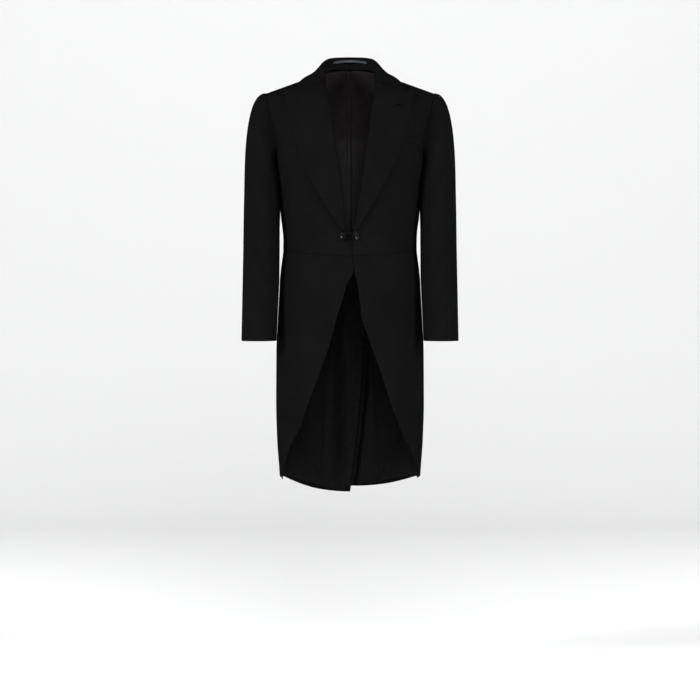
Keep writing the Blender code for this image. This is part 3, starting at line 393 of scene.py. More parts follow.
def sheet_of_cloth(name, outer, inner, look, slot):
    """A sheet of cloth between its two faces, with a soft turned edge. Its pattern is laid flat in metres."""
    rows, columns = outer.shape[:2]
    count = rows * columns
    index = np.arange(count).reshape(rows, columns)
    a, b, c, d = index[:-1, :-1], index[:-1, 1:], index[1:, 1:], index[1:, :-1]
    face = np.stack([a, b, c, d], axis=-1).reshape(-1, 4)
    ring = np.concatenate([index[0, :-1], index[:-1, -1], index[-1, :0:-1], index[:0:-1, 0]])
    thick = float(np.mean(np.linalg.norm(outer - inner, axis=-1)))
    turned = drawn_in((outer + inner) / 2, -0.35 * thick).reshape(-1, 3)[ring]
    points = np.concatenate([outer.reshape(-1, 3), inner.reshape(-1, 3), turned])
    edge = 2 * count + np.arange(len(ring))
    after, edge_after = np.roll(ring, -1), np.roll(edge, -1)
    faces = np.concatenate(
        [
            face,
            face[:, ::-1] + count,
            np.stack([after, ring, edge, edge_after], axis=-1),
            np.stack([edge_after, edge, ring + count, after + count], axis=-1),
        ]
    )
    p = points[faces]
    volume = np.einsum("ij,ij->i", p[:, 0], np.cross(p[:, 1], p[:, 2])).sum()
    volume += np.einsum("ij,ij->i", p[:, 0], np.cross(p[:, 2], p[:, 3])).sum()
    if volume < 0:
        faces = faces[:, ::-1]
    mesh = bpy.data.meshes.new(name)
    mesh.from_pydata(points.tolist(), [], faces.tolist())
    across = np.linalg.norm(np.diff(outer, axis=1), axis=-1)
    upward = np.linalg.norm(np.diff(outer, axis=0), axis=-1)
    u = np.concatenate([np.zeros((rows, 1)), np.cumsum(across, axis=1)], axis=1)
    u = u - u[:, columns // 2, None]
    v = np.concatenate([np.zeros((1, columns)), np.cumsum(upward, axis=0)], axis=0)
    flat = np.stack([u, v], axis=-1).reshape(-1, 2)
    flat = np.concatenate([flat, flat, flat[ring]])
    laid_flat = mesh.uv_layers.new(name="cloth")
    laid_flat.data.foreach_set("uv", flat[faces.reshape(-1)].reshape(-1))
    mesh.shade_smooth()
    mesh.materials.append(look)
    piece = bpy.data.objects.new(name, mesh)
    bpy.context.scene.collection.objects.link(piece)
    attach(piece, "root")
    return piece


def wear(node):
    """Hides the solid whose place a worn piece takes."""
    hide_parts(node)


def closer_edges(grid):
    """A grid with one more row and column close to each of its edges."""
    for _ in range(2):
        first = grid[:1] + (grid[1:2] - grid[:1]) * SEAM_ROLL_AT
        last = grid[-1:] + (grid[-2:-1] - grid[-1:]) * SEAM_ROLL_AT
        grid = np.concatenate([grid[:1], first, grid[1:-1], last, grid[-1:]]).swapaxes(0, 1)
    return grid


def panel(name, side, chart, look, slot, lift, inside=0.0, thick=WOOL):
    """A panel of the body over a grid of angles and levels, on its soft folds, rolled down into its seams."""
    chart = closer_edges(chart)
    face = coat(chart[..., 0], chart[..., 1])
    out = facing(chart[..., 0], chart[..., 1])
    off = lift(side, face[..., 0], face[..., 2]) + folds(BODY_FOLDS, chart[..., 0], chart[..., 1], side)
    edge = np.ones(off.shape)
    edge[1:-1, 1:-1] = 0
    roll = SEAM_ROLL * edge * (inside == 0)
    outer = face + out * (off - inside - roll)[..., None]
    inner = outer - out * (thick - roll * 0.6)[..., None]
    mirror = np.array([side, 1, 1])
    return sheet_of_cloth(name, drawn_in(outer) * mirror, drawn_in(inner) * mirror, look, slot)


def linear(code):
    """The linear colour of an sRGB hex code."""
    shares = [int(code[i : i + 2], 16) / 255 for i in (1, 3, 5)]
    return (*(s / 12.92 if s <= 0.04045 else ((s + 0.055) / 1.055) ** 2.4 for s in shares), 1.0)


def add_node(look, kind, settings=(), inputs=()):
    """Adds a node to a material, with its settings, and its sockets set or linked."""
    made = look.node_tree.nodes.new(kind)
    for key, value in dict(settings).items():
        setattr(made, key, value)
    for key, value in dict(inputs).items():
        if isinstance(value, bpy.types.NodeSocket):
            look.node_tree.links.new(value, made.inputs[key])
        else:
            made.inputs[key].default_value = value
    return made


def new_look(name):
    look = bpy.data.materials.new(name)
    look.use_nodes = True
    return look


def set_surface(look, linked, steady):
    """Links nodes to a material's surface, and sets there what is the same all over."""
    surface = look.node_tree.nodes["Principled BSDF"]
    for key, source in linked.items():
        look.node_tree.links.new(source, surface.inputs[key])
    for key, value in steady.items():
        surface.inputs[key].default_value = value


# The bands of a Wave texture of scale 1 lie this far apart
WAVE_SPACING = 0.314


# Barathea, a close worsted wool dyed black: matt, with a broken twill of 0.5 mm yarns drawn at 1.2 mm so that
# it shows, a little loose fibre on top, and a dye that sits slightly unevenly over a hand's width
def worsted(name, shade, deep):
    look = new_look(name)
    flat = add_node(look, "ShaderNodeUVMap", {"uv_map": "cloth"})
    turned = add_node(
        look, "ShaderNodeMapping", {}, {"Vector": flat.outputs["UV"], "Rotation": (0, 0, math.radians(27))}
    )
    pitch = 0.0012
    ribs = add_node(
        look,
        "ShaderNodeTexWave",
        {"bands_direction": "X"},
        {"Vector": turned.outputs["Vector"], "Scale": WAVE_SPACING / pitch, "Distortion": 1.2, "Detail": 1.0},
    )
    crossing = add_node(
        look,
        "ShaderNodeTexWave",
        {"bands_direction": "Y"},
        {"Vector": flat.outputs["UV"], "Scale": WAVE_SPACING / pitch / 1.6, "Distortion": 0.8, "Detail": 1.0},
    )
    weave = add_node(
        look, "ShaderNodeMath", {"operation": "MULTIPLY_ADD"}, {0: ribs.outputs["Fac"], 1: 0.65, 2: 0.0}
    )
    weave = add_node(
        look, "ShaderNodeMath", {"operation": "MULTIPLY_ADD"},
        {0: crossing.outputs["Fac"], 1: 0.35, 2: weave.outputs[0]},
    )
    nap = add_node(
        look, "ShaderNodeTexNoise", {},
        {"Vector": flat.outputs["UV"], "Scale": 420.0, "Detail": 4.0, "Roughness": 0.65},
    )
    dye = add_node(
        look, "ShaderNodeTexNoise", {},
        {"Vector": flat.outputs["UV"], "Scale": 11.0, "Detail": 3.0, "Roughness": 0.55},
    )
    height = add_node(
        look, "ShaderNodeMath", {"operation": "MULTIPLY_ADD"},
        {0: nap.outputs["Fac"], 1: 0.55, 2: weave.outputs[0]},
    )
    uneven = add_node(
        look, "ShaderNodeMath", {"operation": "MULTIPLY_ADD"},
        {0: dye.outputs["Fac"], 1: 0.9, 2: height.outputs[0]},
    )
    spread = add_node(
        look, "ShaderNodeMapRange", {}, {"Value": uneven.outputs[0], "From Min": 0.55, "From Max": 1.75}
    )
    colour = add_node(
        look, "ShaderNodeMix", {"data_type": "RGBA"},
        {"Factor": spread.outputs["Result"], 6: linear(deep), 7: linear(shade)},
    )
    relief = add_node(
        look, "ShaderNodeBump", {}, {"Height": height.outputs[0], "Strength": 0.35, "Distance": 0.00025}
    )
    set_surface(
        look, {"Base Color": colour.outputs[2], "Normal": relief.outputs["Normal"]},
        {"Roughness": 0.90, "Specular IOR Level": 0.0},
    )
    return look


black_barathea = worsted("black_worsted_barathea", "#131314", "#080808")


def forepart_chart(side):
    column = "left" if side > 0 else "right"
    low_angle = scye_fore(steps(0, 1, SCYE_LOW_STEPS))
    right = line(
        pair(SIDE_SEAM, steps(float(waist_z(SIDE_SEAM)), float(scye_low(SIDE_SEAM)), SIDE_STEPS)),
        pair(low_angle, scye_low(low_angle)),
        pair(SCYE_FRONT, CHEST_Z + RISE * steps(0, 1, SCYE_UP_STEPS)),
    )
    heights = line(
        steps(float(waist_z(-88)), UNDERLAP_TOP_Z, LAP_STEPS),
        (0, *steps(LAPEL_FOOT_Z - SEAM, ARMHOLE_FOOT_Z, SIDE_STEPS - LAP_STEPS - 1)),
        steps(ARMHOLE_FOOT_Z, CHEST_Z, SCYE_LOW_STEPS),
        CHEST_Z + (NECK_Z - CHEST_Z) * np.sin(np.radians(90) * steps(0, 1, SCYE_UP_STEPS)),
    )
    turned = ease((heights - UNDERLAP_TOP_Z) / 0.002) * ease((-0.018 - heights) / 0.02)
    x = along(FRONT_EDGE, column, heights) + FOREPART_SETBACK * turned
    angle, level = place_at(x, heights)
    left = pair(angle, level)
    left[-1] = (angle_at(NECK_X, CHEST_Z + RISE, False), CHEST_Z + RISE)
    over = steps(0, 1, EDGE_STEPS)
    bottom_angle = left[0, 0] + (SIDE_SEAM - left[0, 0]) * over
    bottom = pair(bottom_angle, waist_z(bottom_angle))
    left[0] = bottom[0]
    top_x = NECK_X + (SHOULDER_X - NECK_X) * over
    top = pair(angle_at(top_x, CHEST_Z + RISE, False), CHEST_Z + RISE)
    return patch(left, right, bottom, top)


for side, word in SIDES:
    chart = forepart_chart(side)
    forepart = panel("worn_forepart_" + word, side, chart, black_barathea, "black_wool", front_lift)
    wear("forepart_" + word)

# The breast pocket's welt: a folded strip of the same wool, 14 mm deep, sewn over the mouth of the pocket
# with its inner end under the lapel. Its grain matches the forepart, and both ends are stitched down.
WELT_ENDS = (0.086, 0.1625)
WELT_TOP_Z = -0.1765
WELT_FOOT_Z = -0.1905
WELT_WALL = 0.0013
WELT_LIE = 0.0005
WELT_SWELL = 0.0003
WELT_TILT = 0.0012


def laid(x, z, lift, side):
    """Points over the forepart at a distance from the middle and a height, raised."""
    angle, level = place_at(x, z)
    out = facing(angle, level)
    off = lift + front_lift(side, x, z) + folds(BODY_FOLDS, angle, level, side)
    return coat(angle, level) + out * off[..., None]


welt_x, welt_z = np.meshgrid(steps(WELT_ENDS[0], WELT_ENDS[1], 44), steps(WELT_FOOT_Z, WELT_TOP_Z, 9))
welt_z = welt_z + WELT_TILT * (welt_x - WELT_ENDS[0]) / (WELT_ENDS[1] - WELT_ENDS[0])
swell = WELT_SWELL * np.sin((welt_z - WELT_FOOT_Z) / (WELT_TOP_Z - WELT_FOOT_Z) * math.pi)
welt = sheet_of_cloth(
    "breast_pocket_welt",
    laid(welt_x, welt_z, WELT_LIE + WELT_WALL + swell, 1),
    laid(welt_x, welt_z, WELT_LIE + 0 * swell, 1),
    black_barathea,
    "black_wool",
)
wear("breast_welt")

# The two sidebodies: narrow panels under the arms, between the side seam and the curved back seam, of the
# same wool. They carry the waist's shape and end at the waist seam.
BACK_SEAM = table(
    "z x",
    (-1.10, 0.0890),
    (-0.80, 0.0740),
    (-0.60, 0.0620),
    (-0.455, 0.0520),
    (-0.400, 0.0620),
    (-0.350, 0.0800),
    (-0.300, 0.1030),
    (-0.260, 0.1260),
    (-0.220, 0.1520),
    (-0.185, SCYE_BACK_X),
)
BACK_WAIST_Z = -0.4555


def flat_lift(side, x, z):
    return np.zeros(np.shape(z))


def sidebody_chart():
    left = pair(SIDE_SEAM, steps(float(waist_z(SIDE_SEAM)), float(scye_low(SIDE_SEAM)), SIDE_STEPS))
    right_z = steps(BACK_WAIST_Z, CHEST_Z, SIDE_STEPS)
    right = pair(angle_at(along(BACK_SEAM, "x", right_z), right_z, True), right_z)
    over = steps(0, 1, SIDEBODY_STEPS)
    bottom_angle = SIDE_SEAM + (right[0, 0] - SIDE_SEAM) * over
    level = waist_z(bottom_angle)
    level = level + (right_z[0] - level[-1]) * over
    top_angle = scye_aft(over)
    return patch(left, right, pair(bottom_angle, level), pair(top_angle, scye_low(top_angle)))


for side, word in SIDES:
    sidebody = panel("worn_sidebody_" + word, side, sidebody_chart(), black_barathea, "black_wool", flat_lift)
    wear("sidebody_" + word)

# The two backs, each cut in one with its tail: they meet in the middle seam down to the top of the vent, and
# from there the left tail lies over the right one. The tail's outer edge is the side pleat, laid over the
# skirt.
VENT_TOP_Z = -0.490
NAPE_RISE = 76.0
TAIL_STEPS = 96
NECK_STEPS = 20
SHOULDER_STEPS = 34
PLEAT_TOP_Z = -0.452
PLEAT_STAND = 0.0039
PLEAT_LAP = 0.012
UNDERLAP = 0.041
VENT_CURVE = 2.17
VENT_DROP = 0.578
VENT_SINK = 0.0052
RIPPLE = 0.0008
ROLL_HEIGHT = 0.0040
ROLL_HOLLOW = 0.0065
LEFT_HOLLOW = 0.0085
HEM_SIDE_X = 0.086


def pleat_lift(z):
    """How far the edge of the tail stands over the skirt at the side pleat."""
    return PLEAT_STAND * ease((PLEAT_TOP_Z - z) / 0.030)


def pleat_lap(z):
    """How far the tail's edge lies past the seam line at the side pleat."""
    return PLEAT_LAP * ease((-0.508 - z) / 0.050)


def vent_edge(z):
    """How far past the middle the free edge of the right tail lies."""
    drop = np.clip((VENT_TOP_Z - z) / VENT_DROP, 0, 1)
    return UNDERLAP * (1 - drop**VENT_CURVE)


def vent_sink(side, x, z):
    """How far the right tail lies under the left one at the middle of the back."""
    if side > 0:
        return np.zeros(np.shape(z))
    return VENT_SINK * ease((PLEAT_TOP_Z - z) / 0.036) * (1 - ease((x - 0.002) / 0.045))


def vent_ripple(side, x, z):
    """The small waves where the stitches of the lining draw up the free edge of the right tail."""
    if side > 0:
        return np.zeros(np.shape(z))
    near = np.exp(-(((x + vent_edge(z)) / 0.009) ** 2)) * ease((-0.52 - z) / 0.08)
    return RIPPLE * near * (np.sin(z * 430) + 0.6 * np.sin(z * 269 + 1.2))


def tail_roll(side, x, z):
    """The soft roll of the right tail by its free edge, and the hollow of the left tail behind that edge."""
    low = ease((-0.50 - z) / 0.12)
    if side > 0:
        return LEFT_HOLLOW * low * np.exp(-(((x - vent_edge(z) - 0.004) / 0.010) ** 2))
    hollow = ROLL_HOLLOW * np.exp(-(((x - 0.056) / 0.022) ** 2))
    return low * (hollow - ROLL_HEIGHT * np.exp(-(((x - 0.002) / 0.024) ** 2)))


def tail_lift(side, x, z):
    """All that lifts or sinks a tail off the coat's form."""
    seam = along(BACK_SEAM, "x", z)
    beyond = ease((x - seam + 0.024) / 0.015)
    return pleat_lift(z) * beyond - vent_sink(side, x, z) + vent_ripple(side, x, z) + tail_roll(side, x, z)


def hem_z(x, side):
    """The height of the hem, which rises towards the sides; the right tail hangs a little lower."""
    middle, rise = (-1.068, 0.048) if side < 0 else (-1.054, 0.034)
    return middle + rise * (np.abs(x) / 0.175) ** 2.4


def back_chart(side):
    hem = float(hem_z(HEM_SIDE_X, side))
    seam_z = line(steps(hem, BACK_WAIST_Z, TAIL_STEPS), steps(BACK_WAIST_Z, CHEST_Z, SIDE_STEPS))
    x = along(BACK_SEAM, "x", seam_z) + pleat_lap(seam_z)
    right = line(
        pair(angle_at(x, seam_z, True), seam_z), pair(SCYE_BACK, CHEST_Z + RISE * steps(0, 1, SCYE_UP_STEPS))
    )
    middle_z = line(
        steps(float(hem_z(0, side)), VENT_TOP_Z, TAIL_STEPS), steps(VENT_TOP_Z, CHEST_Z, SIDE_STEPS),
        CHEST_Z + RISE * NAPE_RISE / 90 * steps(0, 1, SCYE_UP_STEPS),
    )
    under = np.zeros(len(middle_z))
    if side < 0:
        under = -vent_edge(middle_z) * ease((VENT_TOP_Z - 0.004 - middle_z) / 0.008)
        under = np.where(middle_z >= VENT_TOP_Z - 0.004, 0, under)
    left = pair(angle_at(under, middle_z, True), middle_z)
    left[:, 0] = np.where(under == 0, 90.0, left[:, 0])
    neck_x = NECK_X * steps(0, 1, NECK_STEPS)
    shoulder_x = NECK_X + (SHOULDER_X - NECK_X) * steps(0, 1, SHOULDER_STEPS)
    top_x = line(neck_x, shoulder_x)
    rise = NAPE_RISE + (90 - NAPE_RISE) * np.clip(top_x / NECK_X, 0, 1) ** 1.6
    top = pair(angle_at(top_x, CHEST_Z + RISE, True), CHEST_Z + RISE * rise / 90)
    top[0, 0] = 90.0
    over = np.linspace(0, 1, len(top_x))
    bottom_angle = left[0, 0] + (right[0, 0] - left[0, 0]) * over
    bottom = pair(bottom_angle, hem_z(coat(bottom_angle, hem)[..., 0], side))
    left[0], right[0] = bottom[0], bottom[-1]
    return patch(left, right, bottom, top)


for side, word in SIDES:
    back = panel("worn_back_" + word, side, back_chart(side), black_barathea, "black_wool", tail_lift)
    wear("back_" + word)


def skirt_chart(side):
    column = "left" if side > 0 else "right"
    hem_front = -1.020 if side > 0 else -1.026
    front_z = steps(float(waist_z(-88)), hem_front, TAIL_STEPS)
    front_x = along(FRONT_EDGE, column, front_z)
    left = pair(angle_at(front_x, front_z, False), front_z)
    back_z = steps(BACK_WAIST_Z, float(hem_z(HEM_SIDE_X, side)), TAIL_STEPS)
    right = pair(angle_at(along(BACK_SEAM, "x", back_z), back_z, True), back_z)
    over = steps(0, 1, EDGE_STEPS + SIDEBODY_STEPS)
    fore = steps(left[0, 0], SIDE_SEAM, EDGE_STEPS)
    aft = steps(SIDE_SEAM, right[0, 0], SIDEBODY_STEPS)
    top_angle = line(fore, aft)
    top_level = waist_z(top_angle)
    late = np.clip((top_angle - SIDE_SEAM) / (right[0, 0] - SIDE_SEAM), 0, 1)
    top_level = top_level + (back_z[0] - top_level[-1]) * late
    bottom_angle = left[-1, 0] + (right[-1, 0] - left[-1, 0]) * over
    bottom = pair(bottom_angle, hem_z(coat(bottom_angle, -1.03)[..., 0], side))
    bottom[0, 1] = left[-1, 1]
    left[0], right[0] = (top_angle[0], top_level[0]), (top_angle[-1], top_level[-1])
    left[-1], right[-1] = bottom[0], bottom[-1]
    return patch(left, right, pair(top_angle, top_level), bottom)


for side, word in SIDES:
    skirt = panel("worn_skirt_" + word, side, skirt_chart(side), black_barathea, "black_wool", front_lift)
    wear("skirt_" + word)

# The linings of the back, tails and skirts: black viscose satin, felled by hand to the wool inside. Down the
# middle of the back the left half is folded over the right in a small pleat, which leaves room for the arms.
LINING = 0.0010
LINING_SLACK = 0.0007
BACK_LINING_CUT = ((0.200, 0.500), 0.0480)
TAIL_LINING_CUT = ((0.115, 0.590), 0.0520)
SKIRT_LINING_CUT = ((0.410, 0.590), 0.1800)


def part_of(chart, rows, columns):
    """Places read from a chart between two shares of its rows and of its columns."""
    rows = np.linspace(rows[0], rows[1], chart.shape[0]) * (chart.shape[0] - 1)
    columns = np.linspace(columns[0], columns[1], chart.shape[1]) * (chart.shape[1] - 1)
    r = np.clip(rows.astype(int), 0, chart.shape[0] - 2)
    c = np.clip(columns.astype(int), 0, chart.shape[1] - 2)
    up, over = (rows - r)[:, None, None], (columns - c)[None, :, None]
    near = chart[r][:, c] * (1 - over) + chart[r][:, c + 1] * over
    far = chart[r + 1][:, c] * (1 - over) + chart[r + 1][:, c + 1] * over
    return near * (1 - up) + far * up


def lining_ripple(x, z):
    """Small slack waves of a lining that is cut a little longer than the wool."""
    waves = np.sin(z * 97 + 9 * np.sin(x * 31)) * np.sin(x * 83 + 4 * np.sin(z * 23))
    return -0.00035 * (1 + waves)


# Black satin: long floats of bright viscose, so the face has a soft sheen that slides over the small waves of
# a lining cut slightly too large. The floats are 0.3 mm wide and drawn at 0.9 mm.
def satin(name, shade, deep, shine):
    look = new_look(name)
    flat = add_node(look, "ShaderNodeUVMap", {"uv_map": "cloth"})
    float_width = 0.0009
    floats = add_node(
        look, "ShaderNodeTexWave", {"bands_direction": "X"},
        {"Vector": flat.outputs["UV"], "Scale": WAVE_SPACING / float_width, "Distortion": 1.5, "Detail": 2.0},
    )
    pull = add_node(
        look, "ShaderNodeMapping", {}, {"Vector": flat.outputs["UV"], "Scale": (1.0, 0.45, 1.0)}
    )
    slack = add_node(
        look,
        "ShaderNodeTexNoise",
        {},
        {"Vector": pull.outputs["Vector"], "Scale": 46.0, "Detail": 3.0, "Roughness": 0.5, "Distortion": 0.6},
    )
    height = add_node(
        look, "ShaderNodeMath", {"operation": "MULTIPLY_ADD"},
        {0: slack.outputs["Fac"], 1: 6.0, 2: floats.outputs["Fac"]},
    )
    colour = add_node(
        look, "ShaderNodeMix", {"data_type": "RGBA"},
        {"Factor": slack.outputs["Fac"], 6: linear(deep), 7: linear(shade)},
    )
    gloss = add_node(
        look, "ShaderNodeMapRange", {}, {"Value": slack.outputs["Fac"], "To Min": 0.34, "To Max": 0.50}
    )
    relief = add_node(
        look, "ShaderNodeBump", {}, {"Height": height.outputs[0], "Strength": 0.30, "Distance": 0.0004}
    )
    linked = {"Base Color": colour.outputs[2], "Roughness": gloss.outputs["Result"]}
    set_surface(look, linked | {"Normal": relief.outputs["Normal"]}, {"Specular IOR Level": shine})
    return look


# The back lining's satin is the lit copy: its colour is made lighter to paint in light inside the neck, where
# the lapels shade it
lit_black_satin = satin("black_viscose_satin", "#282325", "#161415", 0.14)
# The tails' and skirts' lining is the same satin in a darker colour with less shine: a shaded copy, whose
# colour paints the shade inside the tails
shaded_satin = satin("shaded_black_viscose_satin", "#0c0a0a", "#040403", 0.08)
PLEAT_EDGE = 92.0
PLEAT_DEPTH = 0.0046
TAIL_SHORT = 0.0015
SKIRT_SHORT = 0.0115


def with_pleat(chart, side):
    """The left half's middle edge carried over the middle by the width of the pleat."""
    if side < 0:
        return chart
    chart = chart.copy()
    share = np.linspace(0, 1, chart.shape[1])[None, :]
    chart[..., 0] += (PLEAT_EDGE - chart[:, :1, 0]) * (1 - share) ** 3
    return chart


def pleat_fold(side, x):
    """How far the pleat of the left half stands over the right half."""
    if side < 0:
        return np.zeros(np.shape(x))
    return -PLEAT_DEPTH * (1 - ease((x + 0.004) / 0.014))


def to_pleat(chart, short):
    """A lining's edge at the side pleat brought to a distance short of the skirt's edge."""
    chart = chart.copy()
    edge = angle_at(along(BACK_SEAM, "x", chart[..., 1]) - short, chart[..., 1], True)
    first, last = chart[:, :1, 0], chart[:, -1:, 0]
    chart[..., 0] = first + (chart[..., 0] - first) / (last - first) * (edge - first)
    return chart


def back_lining_lift(side, x, z):
    return tail_lift(side, x, z) + lining_ripple(x, z) + pleat_fold(side, x)


def tail_lining_lift(side, x, z):
    return tail_lift(side, x, z) + lining_ripple(x, z)


def skirt_lining_lift(side, x, z):
    return front_lift(side, x, z) + lining_ripple(x, z)


waist_row = TAIL_STEPS / (TAIL_STEPS + SIDE_STEPS + SCYE_UP_STEPS)
for side, word in SIDES:
    chart = back_chart(side)
    # Each lining lies over a share of the rows and columns of its wool
    upper = with_pleat(part_of(chart, (waist_row + 0.001, 0.9975), (0.004, 0.875)), side)
    tail = to_pleat(part_of(chart, (0.006, waist_row - 0.001), (0.02, 1.0)), TAIL_SHORT)
    skirt = to_pleat(part_of(skirt_chart(side), (0.004, 0.988), (0.040, 1.0)), SKIRT_SHORT)
    for name, places, look, lift, cut, wool in (
        ("back_lining_", upper, lit_black_satin, back_lining_lift, BACK_LINING_CUT, "back_"),
        ("tail_lining_", tail, shaded_satin, tail_lining_lift, TAIL_LINING_CUT, "back_"),
        ("skirt_lining_", skirt, shaded_satin, skirt_lining_lift, SKIRT_LINING_CUT, "skirt_"),
    ):
        inside = WOOL + LINING_SLACK
        lining = panel(name + "satin_" + word, side, places, look, "lining_satin", lift, inside, LINING)
        wear(name + word)

# The sleeves: each of a wide topsleeve and a narrow undersleeve in the same wool, eased into the armhole so
# that the crown stands up in a roll. They hang a little forward, with soft breaks at the elbow.
SLEEVE = table(
    "z inner_x outer_x middle_y half_depth",
    (-0.680, 0.1820, 0.2690, -0.152, 0.0460),
    (-0.600, 0.1785, 0.2680, -0.136, 0.0490),
    (-0.520, 0.1755, 0.2670, -0.121, 0.0530),
    (-0.450, 0.1752, 0.2660, -0.112, 0.0570),
    (-0.400, 0.1750, 0.2655, -0.108, 0.0600),
    (-0.355, 0.1739, 0.2650, -0.105, 0.0640),
    (-0.330, 0.1740, 0.2645, -0.104, 0.0660),
    (-0.300, 0.1744, 0.2640, -0.101, 0.0678),
    (-0.275, 0.1752, 0.2637, -0.098, 0.0690),
)
BICEP_Z = -0.275
CUFF_Z = -0.680
SCYE_MIDDLE = (-0.080, -0.150)
ARM_SQUARENESS = 2.15
CAP_PUSH = 0.66
CAP_DROP = 1.30
CAP_ROPE = 0.20
CAP_DIP = 0.25
UNDERARM_HOLD = 0.85
SLEEVE_TUCK = 0.0018
CAP_STEPS = 36
ARM_STEPS = 90
ROUND_STEPS = 144
FRONT_SEAM_AT = 48
HIND_SEAM_AT = 96
# Soft ridges and troughs by the turn round the sleeve (0 outside, 90 front, 180 inside) and the height
SLEEVE_FOLDS = table(
    "turn height lean length width depth side",
    (120, -0.425, 74, 0.035, 0.0070, -0.0018, 0),
    (112, -0.448, 68, 0.038, 0.0075, 0.0016, 0),
    (132, -0.468, 78, 0.036, 0.0070, -0.0017, 1),
    (124, -0.492, 70, 0.032, 0.0075, 0.0013, -1),
    (70, -0.440, 50, 0.040, 0.0090, -0.0010, 0),
    (52, -0.330, 14, 0.070, 0.0120, 0.0012, 1),
    (84, -0.300, -12, 0.070, 0.0110, -0.0013, 0),
    (30, -0.560, 6, 0.090, 0.0140, 0.0012, -1),
    (66, -0.600, -5, 0.080, 0.0120, -0.0011, 0),
    (260, -0.420, -70, 0.040, 0.0100, -0.0015, 0),
    (270, -0.455, -62, 0.042, 0.0100, 0.0015, 0),
    (300, -0.330, 10, 0.080, 0.0140, -0.0014, 0),
    (240, -0.300, -14, 0.070, 0.0120, 0.0014, 0),
    (330, -0.520, 4, 0.110, 0.0150, 0.0011, 0),
)
TOPSLEEVE_CUT = ((0.270, 0.690), 0.1160)
UNDERSLEEVE_CUT = ((0.130, 0.560), 0.0620)


def scye_ring():
    """The armhole once round: from the shoulder down the front, under the arm and up the back."""
    up = CHEST_Z + RISE * steps(0, 1, 42)
    fore, aft = scye_fore(steps(0, 1, 24)), scye_aft(steps(0, 1, 36))
    ring = line(
        pair(SCYE_FRONT, up)[::-1],
        pair(fore, scye_low(fore))[::-1],
        pair(aft, scye_low(aft)),
        pair(SCYE_BACK, up),
    )[:-1]
    return coat(ring[:, 0], ring[:, 1])


def arm_ring(z, turn):
    """A level ring of the sleeve; the turn goes from the outside over the front to the inside."""
    inner, outer = along(SLEEVE, "inner_x", z), along(SLEEVE, "outer_x", z)
    across, deep = np.cos(np.radians(turn)), np.sin(np.radians(turn))
    size = (np.abs(across) ** ARM_SQUARENESS + np.abs(deep) ** ARM_SQUARENESS) ** (1 / ARM_SQUARENESS)
    x = (inner + outer) / 2 + (outer - inner) / 2 * across / size
    y = along(SLEEVE, "middle_y", z) - along(SLEEVE, "half_depth", z) * deep / size
    return np.stack([x, y, np.full(x.shape, float(z))], axis=-1)


def sleeve_grid():
    """Rings of the sleeve from under the armhole's edge to the cuff, and their places round it."""
    start = scye_ring()
    count = len(start)
    radial = start[:, 1:] - np.array(SCYE_MIDDLE)
    angle = np.unwrap(np.arctan2(radial[:, 1], radial[:, 0]) - math.pi / 2)
    turn = np.degrees(angle - angle[0])
    turn = turn * np.sign(turn[count // 2])
    even = 360.0 * np.arange(count) / count
    at_bicep = turn + (even - turn) * 0.4
    end = arm_ring(BICEP_Z, at_bicep)
    below = arm_ring(BICEP_Z - 0.02, at_bicep)
    down = unit(below - end)
    reach = np.linalg.norm(end - start, axis=1, keepdims=True)
    outward = unit(np.column_stack([np.ones(count), CAP_ROPE * unit(radial)]))
    outward[:, 2] -= CAP_DIP * np.clip(-unit(radial)[:, 1], 0, 1)
    start = start - outward * SLEEVE_TUCK
    push = CAP_PUSH * (1 - UNDERARM_HOLD * np.clip(-unit(radial)[:, 1:], 0, 1) ** 2)
    rings = []
    for t in steps(0, 1, CAP_STEPS):
        ring = start * (1 + 2 * t) * (1 - t) ** 2 + end * (3 - 2 * t) * t**2
        ring = ring + outward * reach * push * t * (1 - t) ** 2
        rings.append(ring - down * reach * CAP_DROP * t**2 * (1 - t))
    for t in steps(0, 1, ARM_STEPS)[1:]:
        z = BICEP_Z + (CUFF_Z - BICEP_Z) * t
        rings.append(arm_ring(z, at_bicep + (even - at_bicep) * ease(t * 1.5)))
    return np.array(rings), even


sleeve, sleeve_turn = sleeve_grid()
ring_over = np.roll(sleeve, -1, axis=1) - np.roll(sleeve, 1, axis=1)
sleeve_out = unit(np.cross(np.gradient(sleeve, axis=0), ring_over))
if float(np.sum(sleeve_out * (sleeve - sleeve.mean(axis=1, keepdims=True)))) < 0:
    sleeve_out = -sleeve_out
for side, word in SIDES:
    soft = folds(SLEEVE_FOLDS, sleeve_turn[None, :], sleeve[..., 2], side)
    low = ease(np.linspace(0, 1, len(sleeve)) * 4)[:, None]
    face = sleeve + sleeve_out * (soft * low)[..., None]
    count = face.shape[1]
    top = np.arange(HIND_SEAM_AT, count + FRONT_SEAM_AT + 1) % count
    under = np.arange(FRONT_SEAM_AT, HIND_SEAM_AT + 1)
    for name, picked, cut in (("topsleeve_", top, TOPSLEEVE_CUT), ("undersleeve_", under, UNDERSLEEVE_CUT)):
        outer = drawn_in(face[:, picked])
        inner = drawn_in(face[:, picked] - sleeve_out[:, picked] * WOOL)
        mirror = np.array([side, 1, 1])
        faces = (outer * mirror, inner * mirror)
        half = sheet_of_cloth("worn_" + name + word, *faces, black_barathea, "black_wool")
        wear(name + word)

